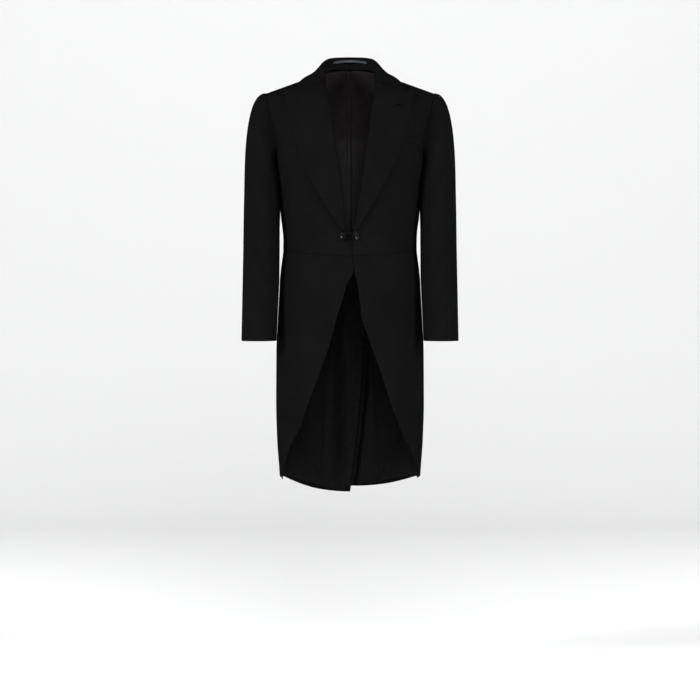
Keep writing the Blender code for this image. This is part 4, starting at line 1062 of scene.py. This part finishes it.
# The collar: one strip of wool over felt, sewn to the neck, standing up inside and folding over to lie on the
# shoulders. It meets the lapels along the gorge seam. Steamed to shape, so its fold is round and firm.
COLLAR_WALL = 0.0020
GORGE_FOOT_Z = -0.038
NOTCH = (0.1340, -0.0665)
LAPEL_SECTION = table(
    "column share lift",
    (0, 0.000, -0.0020),
    (1, 0.000, 0.0016),
    (2, 0.045, 0.0062),
    (3, 0.150, 0.0078),
    (4, 0.380, 0.0064),
    (5, 0.600, 0.0058),
    (6, 0.800, 0.0060),
    (7, 1.000, 0.0062),
)
COLLAR_FOLD = table(
    "share x y z",
    (0.00, 0.0615, -0.1420, -0.0340),
    (0.15, 0.0622, -0.1220, -0.0170),
    (0.35, 0.0640, -0.0920, 0.0020),
    (0.55, 0.0655, -0.0620, 0.0150),
    (0.72, 0.0590, -0.0310, 0.0260),
    (0.86, 0.0370, -0.0080, 0.0322),
    (1.00, 0.0000, 0.0010, 0.0340),
)
COLLAR_EDGE = table(
    "share x rise behind",
    (0.00, 0.1340, 52.0, 0),
    (0.10, 0.1285, 64.0, 0),
    (0.30, 0.1150, 78.0, 0),
    (0.48, 0.1060, 90.0, 0),
    (0.66, 0.0980, 77.0, 1),
    (0.84, 0.0560, 65.0, 1),
    (1.00, 0.0000, 62.0, 1),
)
COLLAR_BASE = table(
    "share x rise behind",
    (0.00, 0.0620, 52.0, 0),
    (0.20, 0.0632, 68.0, 0),
    (0.45, 0.0765, 90.0, 0),
    (0.60, 0.0640, 87.4, 1),
    (0.80, 0.0320, 80.4, 1),
    (1.00, 0.0000, 76.6, 1),
)
STAND_AT = (0.0, 0.45, 0.80, 0.93, 1.0)
FALL_AT = (0.20, 0.48, 0.75, 1.0)
STAND_COLUMNS = 17
COLLAR_POINTS = 41
STAND_RISE = (0.0012, 0.0046)
STAND_REACH = 0.45
FOLD_IN = 0.0045
FOLD_OUT = 0.0086
FALL_REACH = 0.40
FALL_LIFT = 0.0022
GORGE_BLEND = 0.30
GORGE_TURN_IN = (-0.009, -0.0055)


def bezier(a, b, c, d, t):
    t = np.asarray(t)[:, None]
    return a * (1 - t) ** 3 + 3 * b * t * (1 - t) ** 2 + 3 * c * t**2 * (1 - t) + d * t**3


def neck_places(rows):
    """Points on the coat, and the way they face, from a table of distance from the middle and rise."""
    found = []
    for x, rise, behind in zip(rows["x"], rows["rise"], rows["behind"]):
        level = CHEST_Z + RISE * rise / 90
        angle = angle_at(x, level, bool(behind))
        found.append(np.concatenate([coat(angle, level), facing(angle, level)]))
    columns = {"share": rows["share"]}
    for i in range(6):
        columns[str(i)] = np.array(found)[:, i]
    return columns


def neck_place(columns, share):
    read = np.array([float(along(columns, str(i), share)) for i in range(6)])
    return read[:3], unit(read[3:])


def off_edge(direction, out):
    """A direction laid into the cloth that faces out."""
    return unit(direction - out * float(np.dot(direction, out)))


collar_base, collar_edge = neck_places(COLLAR_BASE), neck_places(COLLAR_EDGE)


def collar_station(share, side):
    """Points across the collar: up the stand, over the fold and down the fall."""
    key = "left" if side > 0 else "right"
    fold = np.array([float(along(COLLAR_FOLD, c, share)) for c in ("x", "y", "z")])
    base, base_out = neck_place(collar_base, share)
    edge, edge_out = neck_place(collar_edge, share)
    off = off_edge(fold - base, base_out)
    turned = ease((1 - share) / 0.35)
    base = base + off * (STAND_RISE[0] + STAND_RISE[1] * turned) - base_out * WOOL * (1 - 0.6 * turned)
    edge = edge + edge_out * (LAPEL_SECTION["lift"][-2] + FALL_LIFT * ease((share - 0.4) / 0.2))
    away = unit(np.array([fold[0], (fold[1] + 0.065) * 0.8, 0.0]) + np.array([0.0, 0.0004, 0.0]))
    arrive = off_edge(edge - fold, edge_out)
    reach = float(np.linalg.norm(edge - fold))
    stand = bezier(base, base + (fold - base) * STAND_REACH, fold - away * FOLD_IN, fold, STAND_AT)
    fall = bezier(fold, fold + away * FOLD_OUT, edge - arrive * FALL_REACH * reach, edge, FALL_AT)
    folded = np.concatenate([stand, fall])
    fold_x = float(along(FRONT_EDGE, key, GORGE_FOOT_Z))
    near = np.array([fold_x, GORGE_FOOT_Z])
    start = ease(share / GORGE_BLEND)
    near = near * (1 - start) + np.array([fold[0], fold[2]]) * start
    flat_edge = np.array(NOTCH) * (1 - start) + np.array([edge[0], edge[2]]) * start
    flat_share = np.minimum(LAPEL_SECTION["share"][:7] / LAPEL_SECTION["share"][6], 1)
    flat = near + (flat_edge - near) * flat_share[:, None]
    lie = laid(flat[:, 0], flat[:, 1], LAPEL_SECTION["lift"][:7], -1)
    inward = laid(np.repeat(near[0], 2), np.repeat(near[1], 2), np.array(GORGE_TURN_IN), -1)
    return np.concatenate([inward, lie]) * (1 - start) + folded * start


def across_fold(points, count):
    """More points on a smooth line through those across a fold."""
    places = {"column": np.arange(len(points), dtype=float)}
    for i, key in enumerate("xyz"):
        places[key] = points[:, i]
    at = np.linspace(0, len(points) - 1, count)
    return np.stack([along(places, key, at) for key in "xyz"], axis=-1)


def grid_facing(grid):
    return unit(np.cross(np.gradient(grid, axis=1), np.gradient(grid, axis=0)))


halves = []
for side in (1, -1):
    stations = [collar_station(share, side) for share in steps(0, 1, 72)]
    half = np.array([across_fold(station, COLLAR_POINTS) for station in stations])
    half[0] += unit(half[1] - half[0]) * SEAM * 1.5
    halves.append(half * np.array([side, 1, 1]))
collar_face = np.concatenate([halves[0], halves[1][-2::-1]])
collar_back = collar_face - grid_facing(collar_face) * COLLAR_WALL
collar = sheet_of_cloth("worn_collar", collar_face, collar_back, black_barathea, "black_wool")
wear("collar")

# The lapels: the fronts' own facing of the same wool, rolled back over the chest from the button up to the
# gorge seam, and ending in an upward peak. The fold is a soft roll and not a crease.
LAPEL_EDGE = table(
    "share left_x left_z right_x right_z",
    (0.00, 0.0150, -0.4090, 0.0195, -0.4090),
    (0.06, 0.0240, -0.3930, 0.0290, -0.3930),
    (0.22, 0.0660, -0.3230, 0.0720, -0.3250),
    (0.44, 0.1110, -0.2390, 0.1110, -0.2500),
    (0.52, 0.1215, -0.2140, 0.1240, -0.2190),
    (0.62, 0.1310, -0.1860, 0.1375, -0.1830),
    (0.70, 0.1395, -0.1610, 0.1445, -0.1590),
    (0.80, 0.1455, -0.1290, 0.1510, -0.1290),
    (0.88, 0.1510, -0.1100, 0.1545, -0.1050),
    (0.96, 0.1560, -0.0770, 0.1580, -0.0740),
    (1.00, 0.1575, -0.0600, 0.1580, -0.0600),
)
NOTCH_SHARE = 0.80
LAPEL_ROLL_WIDTH = 0.055
LAPEL_FOOT_SINK = 0.0018
LAPEL_FOOT_FADE = 0.10
LAPEL_WALL = 0.0022


def lapel_face(side, up, share, lift):
    """Points of a lapel's face by the shares of the way up and across it, and the height off the forepart."""
    key = "left" if side > 0 else "right"
    fold_z = LAPEL_FOOT_Z + (GORGE_FOOT_Z - LAPEL_FOOT_Z) * up
    fold = pair(along(FRONT_EDGE, key, fold_z), fold_z)
    edge = pair(along(LAPEL_EDGE, key + "_x", up), along(LAPEL_EDGE, key + "_z", up))
    flat = fold[:, None] + (edge - fold)[:, None] * share[None, :, None]
    gorge = np.array([float(along(FRONT_EDGE, key, GORGE_FOOT_Z)), GORGE_FOOT_Z])
    peak = np.array([LAPEL_EDGE[key + "_x"][-1], LAPEL_EDGE[key + "_z"][-1]])
    notch = np.array(NOTCH)
    to_notch = gorge + (notch - gorge) * np.minimum(share / NOTCH_SHARE, 1)[:, None]
    past_notch = np.clip((share - NOTCH_SHARE) / (1 - NOTCH_SHARE), 0, 1)
    straight = to_notch + (peak - notch) * past_notch[:, None]
    shift = straight - (gorge + (peak - gorge) * share[:, None])
    flat = flat + ease((up - NOTCH_SHARE) / (1 - NOTCH_SHARE))[:, None, None] * shift[None]
    width = np.linalg.norm(edge - fold, axis=-1)[:, None]
    rolled = np.minimum(width / LAPEL_ROLL_WIDTH, 1)
    rest = LAPEL_SECTION["lift"][-1]
    foot = LAPEL_FOOT_SINK * (1 - ease(up / LAPEL_FOOT_FADE))[:, None]
    raised = np.where(share > 0.001, rest + (lift - rest) * rolled - foot, lift)
    return laid(flat[..., 0], flat[..., 1], raised, side)


lapel_columns = np.concatenate([steps(0, 3, 18), steps(3, 7, 36)[1:]])
lapel_share = along(LAPEL_SECTION, "share", lapel_columns)
lapel_lift = along(LAPEL_SECTION, "lift", lapel_columns)
for side, word in SIDES:
    face = lapel_face(side, steps(0, 1, 100), lapel_share, lapel_lift)
    back = face - grid_facing(face) * LAPEL_WALL
    mirror = np.array([side, 1, 1])
    lapel = sheet_of_cloth("worn_lapel_" + word, face * mirror, back * mirror, black_barathea, "black_wool")
    wear("lapel_" + word)

# The buttonhole of the wearer's left lapel: a slit 20 mm long for a flower, cut through the roll near the
# peak and worked round by hand with black silk twist over a gimp, so that it stands up as a fine ridge.
HOLE_START = (0.1065, -0.1000)
HOLE_END = (0.1265, -0.0965)
STITCHES_A_SIDE = 26
STITCH_REACH = 0.0011
STITCH_RADIUS = 0.00034
# One stitch over the edge of the slit: the distance out from it and the height over the cloth
HOLE_STITCH = ((0.00015, 0.0), (0.0003, 0.0005), (STITCH_REACH * 0.7, 0.00055), (STITCH_REACH, 0.0))


def on_face(piece, x, z):
    """The point of a piece's front, and its outward direction, at a place seen from the front."""
    hit, place, normal, _ = piece.ray_cast(Vector((x, -1.0, z)), Vector((0.0, 1.0, 0.0)))
    return np.array(place), unit(np.array(normal))


def take(piece):
    """Makes a piece the active one and the only one selected."""
    bpy.ops.object.select_all(action="DESELECT")
    piece.select_set(True)
    bpy.context.view_layer.objects.active = piece


def thread(name, paths, radius, look, sides=6):
    """Runs of round thread along short paths, as one piece with closed ends."""
    points, faces = [], []
    for path in paths:
        path = np.array(path)
        ahead = unit(np.gradient(path, axis=0))
        first = len(points)
        for at, (centre, on) in enumerate(zip(path, ahead)):
            over = unit(np.cross(on, np.array([0.31, 0.57, 0.76])))
            up = np.cross(on, over)
            narrow = 0.55 if at in (0, len(path) - 1) else 1.0
            for i in range(sides):
                turn = 2 * math.pi * i / sides
                points.append(centre + (over * math.cos(turn) + up * math.sin(turn)) * radius * narrow)
        last = first + (len(path) - 1) * sides
        faces.append(tuple(range(first, first + sides)))
        faces.append(tuple(reversed(range(last, last + sides))))
        for r in range(len(path) - 1):
            for i in range(sides):
                a, b, j = first + r * sides, first + (r + 1) * sides, (i + 1) % sides
                faces.append((a + j, a + i, b + i, b + j))
    mesh = bpy.data.meshes.new(name)
    mesh.from_pydata([tuple(p) for p in points], [], faces)
    mesh.shade_smooth()
    mesh.materials.append(look)
    piece = bpy.data.objects.new(name, mesh)
    bpy.context.scene.collection.objects.link(piece)
    take(piece)
    bpy.ops.object.mode_set(mode="EDIT")
    bpy.ops.mesh.select_all(action="SELECT")
    bpy.ops.mesh.normals_make_consistent(inside=False)
    bpy.ops.object.mode_set(mode="OBJECT")
    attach(piece, "root")
    return piece


# Silk buttonhole twist: three dyed strands twisted together and waxed dull, so it reads as a fine dark ridge
# with short slants every 0.8 mm
TWIST_PITCH = 0.0008
silk_twist = new_look("black_silk_twist")
place = add_node(silk_twist, "ShaderNodeTexCoord")
slants = add_node(
    silk_twist, "ShaderNodeTexWave", {"bands_direction": "DIAGONAL"},
    {"Vector": place.outputs["Object"], "Scale": WAVE_SPACING / TWIST_PITCH, "Distortion": 0.5},
)
strands = add_node(
    silk_twist, "ShaderNodeMix", {"data_type": "RGBA"},
    {"Factor": slants.outputs["Fac"], 6: linear("#030303"), 7: linear("#08080a")},
)
raised = add_node(
    silk_twist, "ShaderNodeBump", {}, {"Height": slants.outputs["Fac"], "Strength": 0.5, "Distance": 0.0001}
)
set_surface(
    silk_twist, {"Base Color": strands.outputs[2], "Normal": raised.outputs["Normal"]},
    {"Roughness": 0.80, "Specular IOR Level": 0.03},
)

bpy.context.view_layer.update()
worn_lapel = bpy.data.objects["worn_lapel_left"]
start, end = np.array(HOLE_START), np.array(HOLE_END)
on = unit(end - start)
aside = np.array([-on[1], on[0]])
bars = []
for way in (-1, 1):
    for share in steps(0, 1, STITCHES_A_SIDE):
        middle = start + (end - start) * share
        bars.append((middle, aside * way))
for turn in steps(-80, 80, 8):
    spread = on * math.cos(math.radians(turn)) + aside * math.sin(math.radians(turn))
    bars.append((end + spread * 0.0006, spread))
paths = []
for middle, way in bars:
    path = []
    for reach, lift in HOLE_STITCH:
        foot, out = on_face(worn_lapel, *(middle + way * reach))
        path.append(foot + out * lift)
    paths.append(path)
thread("lapel_buttonhole_silk", paths, STITCH_RADIUS, silk_twist)

# The two front buttons, turned from black horn with a dished face and four eyes, and joined by a link of
# thread that passes through both edges. The link pulls them round, so that each turns its face outwards.
BUTTON_RADIUS = 0.0098
BUTTON_FOOT = 0.0022
BUTTON_TOP = 0.0056
EYE_RADIUS = 0.0010
EYE_SIDE = 0.0024 * 0.707
EYE_DEPTH = 0.0022
# How far each ring of the face is inset, and how far it then drops
BUTTON_DISH = ((0.0006, 0.0), (0.0009, 0.0), (0.0010, -0.0005), (0.0012, -0.0008), (0.0014, -0.0004))
BACK_RIM = 0.0014
SHANK_INSET = 0.0060
SHANK_CLEAR = 0.07
RIM_ROUND = 0.00035
THREAD_RADIUS = 0.0003
SHANK_TURNS = 5
SHANK_RADIUS = 0.0011
# One bar of thread through a pair of eyes: its place between them and its depth under the face
EYE_STITCH = (
    (-1.0, -0.0016), (-1.0, -0.0008), (-0.45, -0.00065), (0.45, -0.00065), (1.0, -0.0008), (1.0, -0.0016)
)
# The link between the buttons: its distance from the middle, its height over the cloth, and the front it is
# on
LINK_PATH = (
    (-0.0100, 0.0034, -1), (-0.0075, 0.0020, -1), (-0.0045, 0.0016, -1), (0.0005, 0.0018, -1),
    (0.0036, 0.0044, -1), (0.0060, 0.0020, 1), (0.0080, 0.0020, 1), (0.0100, 0.0030, 1),
)
LINK_STRANDS = 3
LINK_TWIST = 2.6
FRONT_BUTTON = {"z": -0.4205, "x": 0.0106}
BUTTON_TURN = {"left": 30.0, "right": 46.0}
BUTTON_RAISED = {"left": 0.0026, "right": 0.0044}

# Polished black buffalo horn: dense and nearly black, with faint browner growth streaks 2 mm wide under a wet
# polish, so that small bright lights show in the dish and along the rim
black_horn = new_look("polished_black_horn")
place = add_node(black_horn, "ShaderNodeTexCoord")
grown = add_node(
    black_horn, "ShaderNodeMapping", {}, {"Vector": place.outputs["Object"], "Scale": (1.0, 1.0, 0.35)}
)
streaks = add_node(
    black_horn, "ShaderNodeTexNoise", {},
    {"Vector": grown.outputs["Vector"], "Scale": 500.0, "Detail": 3.0, "Distortion": 1.5},
)
tone = add_node(
    black_horn, "ShaderNodeMix", {"data_type": "RGBA"},
    {"Factor": streaks.outputs["Fac"], 6: linear("#040404"), 7: linear("#120f0d")},
)
polish = add_node(
    black_horn, "ShaderNodeMapRange", {}, {"Value": streaks.outputs["Fac"], "To Min": 0.12, "To Max": 0.20}
)
set_surface(
    black_horn, {"Base Color": tone.outputs[2], "Roughness": polish.outputs["Result"]},
    {"IOR": 1.56, "Specular IOR Level": 0.10},
)


def pick(piece, test):
    """Selects the faces of a piece whose middle and direction pass a test."""
    bpy.ops.object.mode_set(mode="EDIT")
    bpy.ops.mesh.select_mode(type="FACE")
    bpy.ops.mesh.select_all(action="DESELECT")
    bpy.ops.object.mode_set(mode="OBJECT")
    for face in piece.data.polygons:
        face.select = test(face.center, face.normal)
    bpy.ops.object.mode_set(mode="EDIT")


def turned_button(name):
    """A horn button with its shank's foot at the origin and its face up."""
    bpy.ops.object.select_all(action="DESELECT")
    depth = BUTTON_TOP - BUTTON_FOOT
    middle = (0, 0, (BUTTON_TOP + BUTTON_FOOT) / 2)
    bpy.ops.mesh.primitive_cylinder_add(vertices=64, radius=BUTTON_RADIUS, depth=depth, location=middle)
    bpy.ops.object.transform_apply(location=True, rotation=True, scale=True)
    button = bpy.context.object
    button.name = name
    pick(button, lambda centre, way: way.z > 0.9)
    for thickness, drop in BUTTON_DISH:
        bpy.ops.mesh.inset(thickness=thickness)
        bpy.ops.transform.translate(value=(0, 0, drop))
    pick(button, lambda centre, way: way.z < -0.9)
    bpy.ops.mesh.inset(thickness=BACK_RIM)
    bpy.ops.transform.translate(value=(0, 0, -0.0001))
    bpy.ops.mesh.inset(thickness=SHANK_INSET)
    shank = BUTTON_TOP * SHANK_CLEAR - BUTTON_FOOT
    bpy.ops.mesh.extrude_region_move(TRANSFORM_OT_translate={"value": (0, 0, shank)})
    bpy.ops.object.mode_set(mode="OBJECT")
    for east, north in ((1, 1), (1, -1), (-1, 1), (-1, -1)):
        place = (east * EYE_SIDE, north * EYE_SIDE, BUTTON_TOP - 0.0014)
        bpy.ops.mesh.primitive_cylinder_add(vertices=20, radius=EYE_RADIUS, depth=EYE_DEPTH, location=place)
        drill = bpy.context.object
        eye = button.modifiers.new("eye", "BOOLEAN")
        eye.object, eye.operation, eye.solver = drill, "DIFFERENCE", "EXACT"
        bpy.context.view_layer.objects.active = button
        bpy.ops.object.modifier_apply(modifier="eye")
        bpy.data.objects.remove(drill, do_unlink=True)
    round_off = button.modifiers.new("round_off", "BEVEL")
    round_off.width, round_off.segments = RIM_ROUND, 3
    round_off.limit_method, round_off.angle_limit = "ANGLE", math.radians(28)
    bpy.ops.object.modifier_apply(modifier="round_off")
    take(button)
    bpy.ops.object.shade_smooth_by_angle(angle=math.radians(40))
    button.data.materials.clear()
    button.data.materials.append(black_horn)
    return button


def stand_button(button, foot, out, raised_by):
    """Stands a button on the cloth, its place and turn in its mesh."""
    button.rotation_mode = "QUATERNION"
    button.rotation_quaternion = Vector(out).to_track_quat("Z", "Y")
    button.location = foot + out * raised_by
    take(button)
    bpy.ops.object.transform_apply(location=True, rotation=True, scale=True)
    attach(button, "root")


def sewn(out, foot, raised_by):
    """The paths of a button's thread: two bars across its eyes, and the shank down to the cloth."""
    turn = Vector(out).to_track_quat("Z", "Y").to_matrix()
    paths = []
    for way in (-1, 1):
        path = []
        for x, z in EYE_STITCH:
            local = Vector((x * EYE_SIDE, way * EYE_SIDE, BUTTON_TOP - 0.0004 + z))
            path.append(foot + out * raised_by + np.array(turn @ local))
        paths.append(path)
    for strand in range(SHANK_TURNS):
        aim = math.radians(360 / SHANK_TURNS * strand)
        off = np.array(turn @ Vector((SHANK_RADIUS * math.cos(aim), SHANK_RADIUS * math.sin(aim), 0)))
        top = foot + out * (raised_by + BUTTON_FOOT) + off * 1.3
        paths.append([top, (top + foot) / 2 + off * 0.2, foot + off * 0.6 - out * 0.0003])
    return paths


paths = []
for side, word in SIDES:
    angle, level = place_at(FRONT_BUTTON["x"], FRONT_BUTTON["z"])
    out = facing(angle, level)
    foot = coat(angle, level) + out * float(front_lift(side, FRONT_BUTTON["x"], FRONT_BUTTON["z"]))
    turn = math.radians(BUTTON_TURN[word])
    out = unit(np.array([out[0] + math.tan(turn), out[1], out[2]]))
    mirror = np.array([side, 1, 1])
    button = turned_button("front_button_horn_" + word)
    stand_button(button, foot * mirror, out * mirror, BUTTON_RAISED[word])
    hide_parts("front_button_" + word)
    paths += sewn(out * mirror, foot * mirror, BUTTON_RAISED[word])
link = []
for x, lift, side in LINK_PATH:
    angle, level = place_at(abs(x), FRONT_BUTTON["z"])
    out = facing(angle, level)
    flip = np.array([-1 if x < 0 else 1, 1, 1])
    off = lift + float(front_lift(side, abs(x), FRONT_BUTTON["z"]))
    link.append((coat(angle, level) + out * off) * flip)
link = np.array(link)
finer = np.linspace(0, len(link) - 1, 29)
columns = {"at": np.arange(len(link), dtype=float), "x": link[:, 0], "y": link[:, 1], "z": link[:, 2]}
core = np.stack([along(columns, key, finer) for key in "xyz"], axis=-1)
for strand in range(LINK_STRANDS):
    wind = finer * LINK_TWIST + strand * 2 * math.pi / LINK_STRANDS
    paths.append(core + np.stack([0 * wind, np.cos(wind), np.sin(wind)], axis=-1) * STITCH_RADIUS)
button_link = thread("button_link_thread", paths, THREAD_RADIUS, silk_twist)
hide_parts("button_link")

# The lap bar: a short row of stitches in the same silk under the buttons, worked through both fronts where
# they lap, so that the lap stays closed. Its dark row is put where the fronts part and fall into shade, so it
# also stands as a painted shadow.
BAR = (-0.0035, 0.0055)
BAR_Z = -0.4435
BAR_STITCHES = 16
LAP_EDGE_X = 0.0072
# One stitch: its height on the bar and over the cloth
BAR_STITCH = ((0.0022, -0.0002), (0.0012, 0.0004), (-0.0012, 0.0004), (-0.0022, -0.0002))
worn_forepart = bpy.data.objects["worn_forepart_left"]
bars = []
for x in steps(BAR[0], BAR[1], BAR_STITCHES):
    path = []
    for up, lift in BAR_STITCH:
        foot, out = on_face(worn_forepart, max(x, LAP_EDGE_X), BAR_Z + up)
        path.append(np.array([x, foot[1], foot[2]]) + out * lift)
    bars.append(path)
thread("lap_bar_painted_shadow_stitches", bars, THREAD_RADIUS, silk_twist)

# The two waist buttons at the tops of the side pleats: the same horn buttons, sewn flat against the back
# through their four eyes, for ornament alone.
WAIST_BUTTON_Z = -0.462
paths = []
for side, word in SIDES:
    angle = float(angle_at(float(along(BACK_SEAM, "x", WAIST_BUTTON_Z)) - 0.004, WAIST_BUTTON_Z, True))
    out = facing(angle, WAIST_BUTTON_Z)
    foot = coat(angle, WAIST_BUTTON_Z) + out * float(pleat_lift(WAIST_BUTTON_Z))
    mirror = np.array([side, 1, 1])
    button = turned_button("waist_button_horn_" + word)
    stand_button(button, foot * mirror, out * mirror, 0.0)
    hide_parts("waist_button_" + word)
    paths += sewn(out * mirror, foot * mirror, 0.0)
thread("waist_button_thread", paths, THREAD_RADIUS, silk_twist)

# The hanger loop: a strip of grey-blue satin ribbon 5.5 mm wide, folded in at both ends and stitched to the
# inside of the collar stand, with enough slack to pass over a hook.
LOOP_HALF = 0.042
LOOP_WIDTH = 0.0055
LOOP_END_Z = 0.0175
LOOP_MIDDLE_Z = 0.0225
LOOP_GAP = 0.0008
LOOP_BOW = 0.0082
RIBBON = 0.0010
LOOP_STITCHES = 5
LOOP_STITCH_GAP = 0.0011
LOOP_STITCH_RADIUS = 0.00022
# One stitch over the ribbon's end, from its centre
LOOP_STITCH = ((-0.0007, 0.0006, 0.0), (0.0, -0.0001, 0.0002), (0.0007, 0.0006, 0.0))

# Satin ribbon: rayon floats along its length, with fine ribs 0.7 mm apart across it, which give a broad
# bright gleam where it bends
RIBBON_RIB = 0.0007
ribbon_satin = new_look("grey_rayon_ribbon")
flat = add_node(ribbon_satin, "ShaderNodeUVMap", {"uv_map": "cloth"})
ribs = add_node(
    ribbon_satin, "ShaderNodeTexWave", {"bands_direction": "X"},
    {"Vector": flat.outputs["UV"], "Scale": WAVE_SPACING / RIBBON_RIB, "Distortion": 0.6},
)
woven = add_node(
    ribbon_satin, "ShaderNodeMix", {"data_type": "RGBA"},
    {"Factor": ribs.outputs["Fac"], 6: linear("#1c1e22"), 7: linear("#33363d")},
)
ribbed = add_node(
    ribbon_satin, "ShaderNodeBump", {}, {"Height": ribs.outputs["Fac"], "Strength": 0.4, "Distance": 0.0001}
)
set_surface(
    ribbon_satin, {"Base Color": woven.outputs[2], "Normal": ribbed.outputs["Normal"]},
    {"Roughness": 0.42, "Specular IOR Level": 0.35},
)

stand = collar_face[:, :STAND_COLUMNS]
stand = stand[np.argsort(stand[:, 0, 0])]
ribbon_rows = []
for t in steps(0, 1, 80):
    x = -LOOP_HALF + 2 * LOOP_HALF * t
    bow = math.sin(math.pi * t)
    middle = LOOP_END_Z + (LOOP_MIDDLE_Z - LOOP_END_Z) * bow**0.7
    ys = np.array([np.interp(x, stand[:, c, 0], stand[:, c, 1]) for c in range(STAND_COLUMNS)])
    zs = np.array([np.interp(x, stand[:, c, 0], stand[:, c, 2]) for c in range(STAND_COLUMNS)])
    row = []
    for share in steps(-0.5, 0.5, 6):
        z = middle + share * LOOP_WIDTH
        row.append((x, float(np.interp(z, zs, ys)) - LOOP_GAP - LOOP_BOW * bow, z))
    ribbon_rows.append(row)
ribbon_back = np.array(ribbon_rows)
ribbon_front = ribbon_back - np.array([0.0, RIBBON, 0.0])
ribbon = sheet_of_cloth("hanger_loop_ribbon", ribbon_front, ribbon_back, ribbon_satin, "loop_ribbon")
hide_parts("hanger_loop")
paths = []
for way in (-1, 1):
    for row in range(LOOP_STITCHES):
        z = (row - LOOP_STITCHES // 2) * LOOP_STITCH_GAP
        centre = ribbon_front[1 if way < 0 else -2].mean(axis=0) + np.array([0, -0.0002, z])
        paths.append(centre + np.array(LOOP_STITCH))
thread("hanger_loop_stitches", paths, LOOP_STITCH_RADIUS, silk_twist)

# The stage: a sweep of pale paper that runs from the floor up behind the coat in one bend, large soft lights
# at the front and sides with two more on the paper, and a long lens straight in front.
FLOOR_Z = -1.52
PAPER_SIZE = 14
PAPER_RISE = 9
PAPER_BEND = 3.0
COAT_MIDDLE = (0, -0.1, -0.55)
# Each light's name, place, aim, size in metres and power in watts
LIGHTS = (
    ("left_softbox", (-4.6, -3.4, 1.6), COAT_MIDDLE, 1.6, 330),
    ("right_softbox", (4.6, -3.4, 1.4), COAT_MIDDLE, 1.6, 250),
    ("front_softbox", (0.3, -6.0, 1.5), COAT_MIDDLE, 1.6, 110),
    ("left_paper_light", (-3.4, 1.2, 0.6), (0.5, 7.0, -0.6), 2.4, 62),
    ("right_paper_light", (3.4, 1.2, 0.6), (-0.5, 7.0, -0.6), 2.4, 66),
)
bpy.ops.object.select_all(action="DESELECT")
bpy.ops.mesh.primitive_plane_add(size=PAPER_SIZE, location=(0, 0, FLOOR_Z))
sweep = bpy.context.object
sweep.name = "paper_sweep"
bpy.ops.object.mode_set(mode="EDIT")
bpy.ops.mesh.select_all(action="DESELECT")
bpy.ops.object.mode_set(mode="OBJECT")
for edge in sweep.data.edges:
    ends = [sweep.data.vertices[i].co.y for i in edge.vertices]
    edge.select = min(ends) > 1
bpy.ops.object.mode_set(mode="EDIT")
bpy.ops.mesh.select_mode(type="EDGE")
bpy.ops.mesh.extrude_region_move(TRANSFORM_OT_translate={"value": (0, 0, PAPER_RISE)})
bpy.ops.object.mode_set(mode="OBJECT")
bend = sweep.modifiers.new("bend", "BEVEL")
bend.width, bend.segments, bend.limit_method = PAPER_BEND, 24, "ANGLE"
bpy.ops.object.modifier_apply(modifier="bend")
bpy.ops.object.transform_apply(location=True, rotation=True, scale=True)
sweep.data.shade_smooth()
paper = new_look("white_background_paper")
set_surface(paper, {}, {"Base Color": linear("#f4f4f4"), "Roughness": 0.9})
sweep.data.materials.append(paper)

studio = bpy.data.worlds.new("studio")
studio.use_nodes = True
sky = studio.node_tree.nodes["Background"]
sky.inputs["Color"].default_value, sky.inputs["Strength"].default_value = linear("#f2f3f5"), 0.26
bpy.context.scene.world = studio
# The plain transform keeps the cloth's near-black tones apart
bpy.context.scene.view_settings.view_transform = "Standard"
for name, place, at, size, power in LIGHTS:
    lamp = bpy.data.lights.new(name, "AREA")
    lamp.size, lamp.energy = size, power
    holder = bpy.data.objects.new(name, lamp)
    holder.location = place
    aim = np.array(at) - np.array(place)
    tilt, heading = math.acos(-aim[2] / np.linalg.norm(aim)), math.atan2(aim[1], aim[0])
    holder.rotation_euler = (tilt, 0, heading - math.pi / 2)
    bpy.context.scene.collection.objects.link(holder)

EYE_Z = -0.515
EYE_DISTANCE = 7.0
FRONT_Y = -0.09
VIEW_MIDDLE_Z = -0.705
VIEW_WIDTH = 1.75
SENSOR = 36
camera = bpy.data.cameras.new("camera")
camera.sensor_width = SENSOR
camera.lens = SENSOR * EYE_DISTANCE / VIEW_WIDTH
camera.shift_y = (VIEW_MIDDLE_Z - EYE_Z) / VIEW_WIDTH
camera.clip_end = 60
eye = bpy.data.objects.new("camera", camera)
eye.location = (0, FRONT_Y - EYE_DISTANCE, EYE_Z)
eye.rotation_euler = (math.pi / 2, 0, 0)
bpy.context.scene.collection.objects.link(eye)
bpy.context.scene.camera = eye
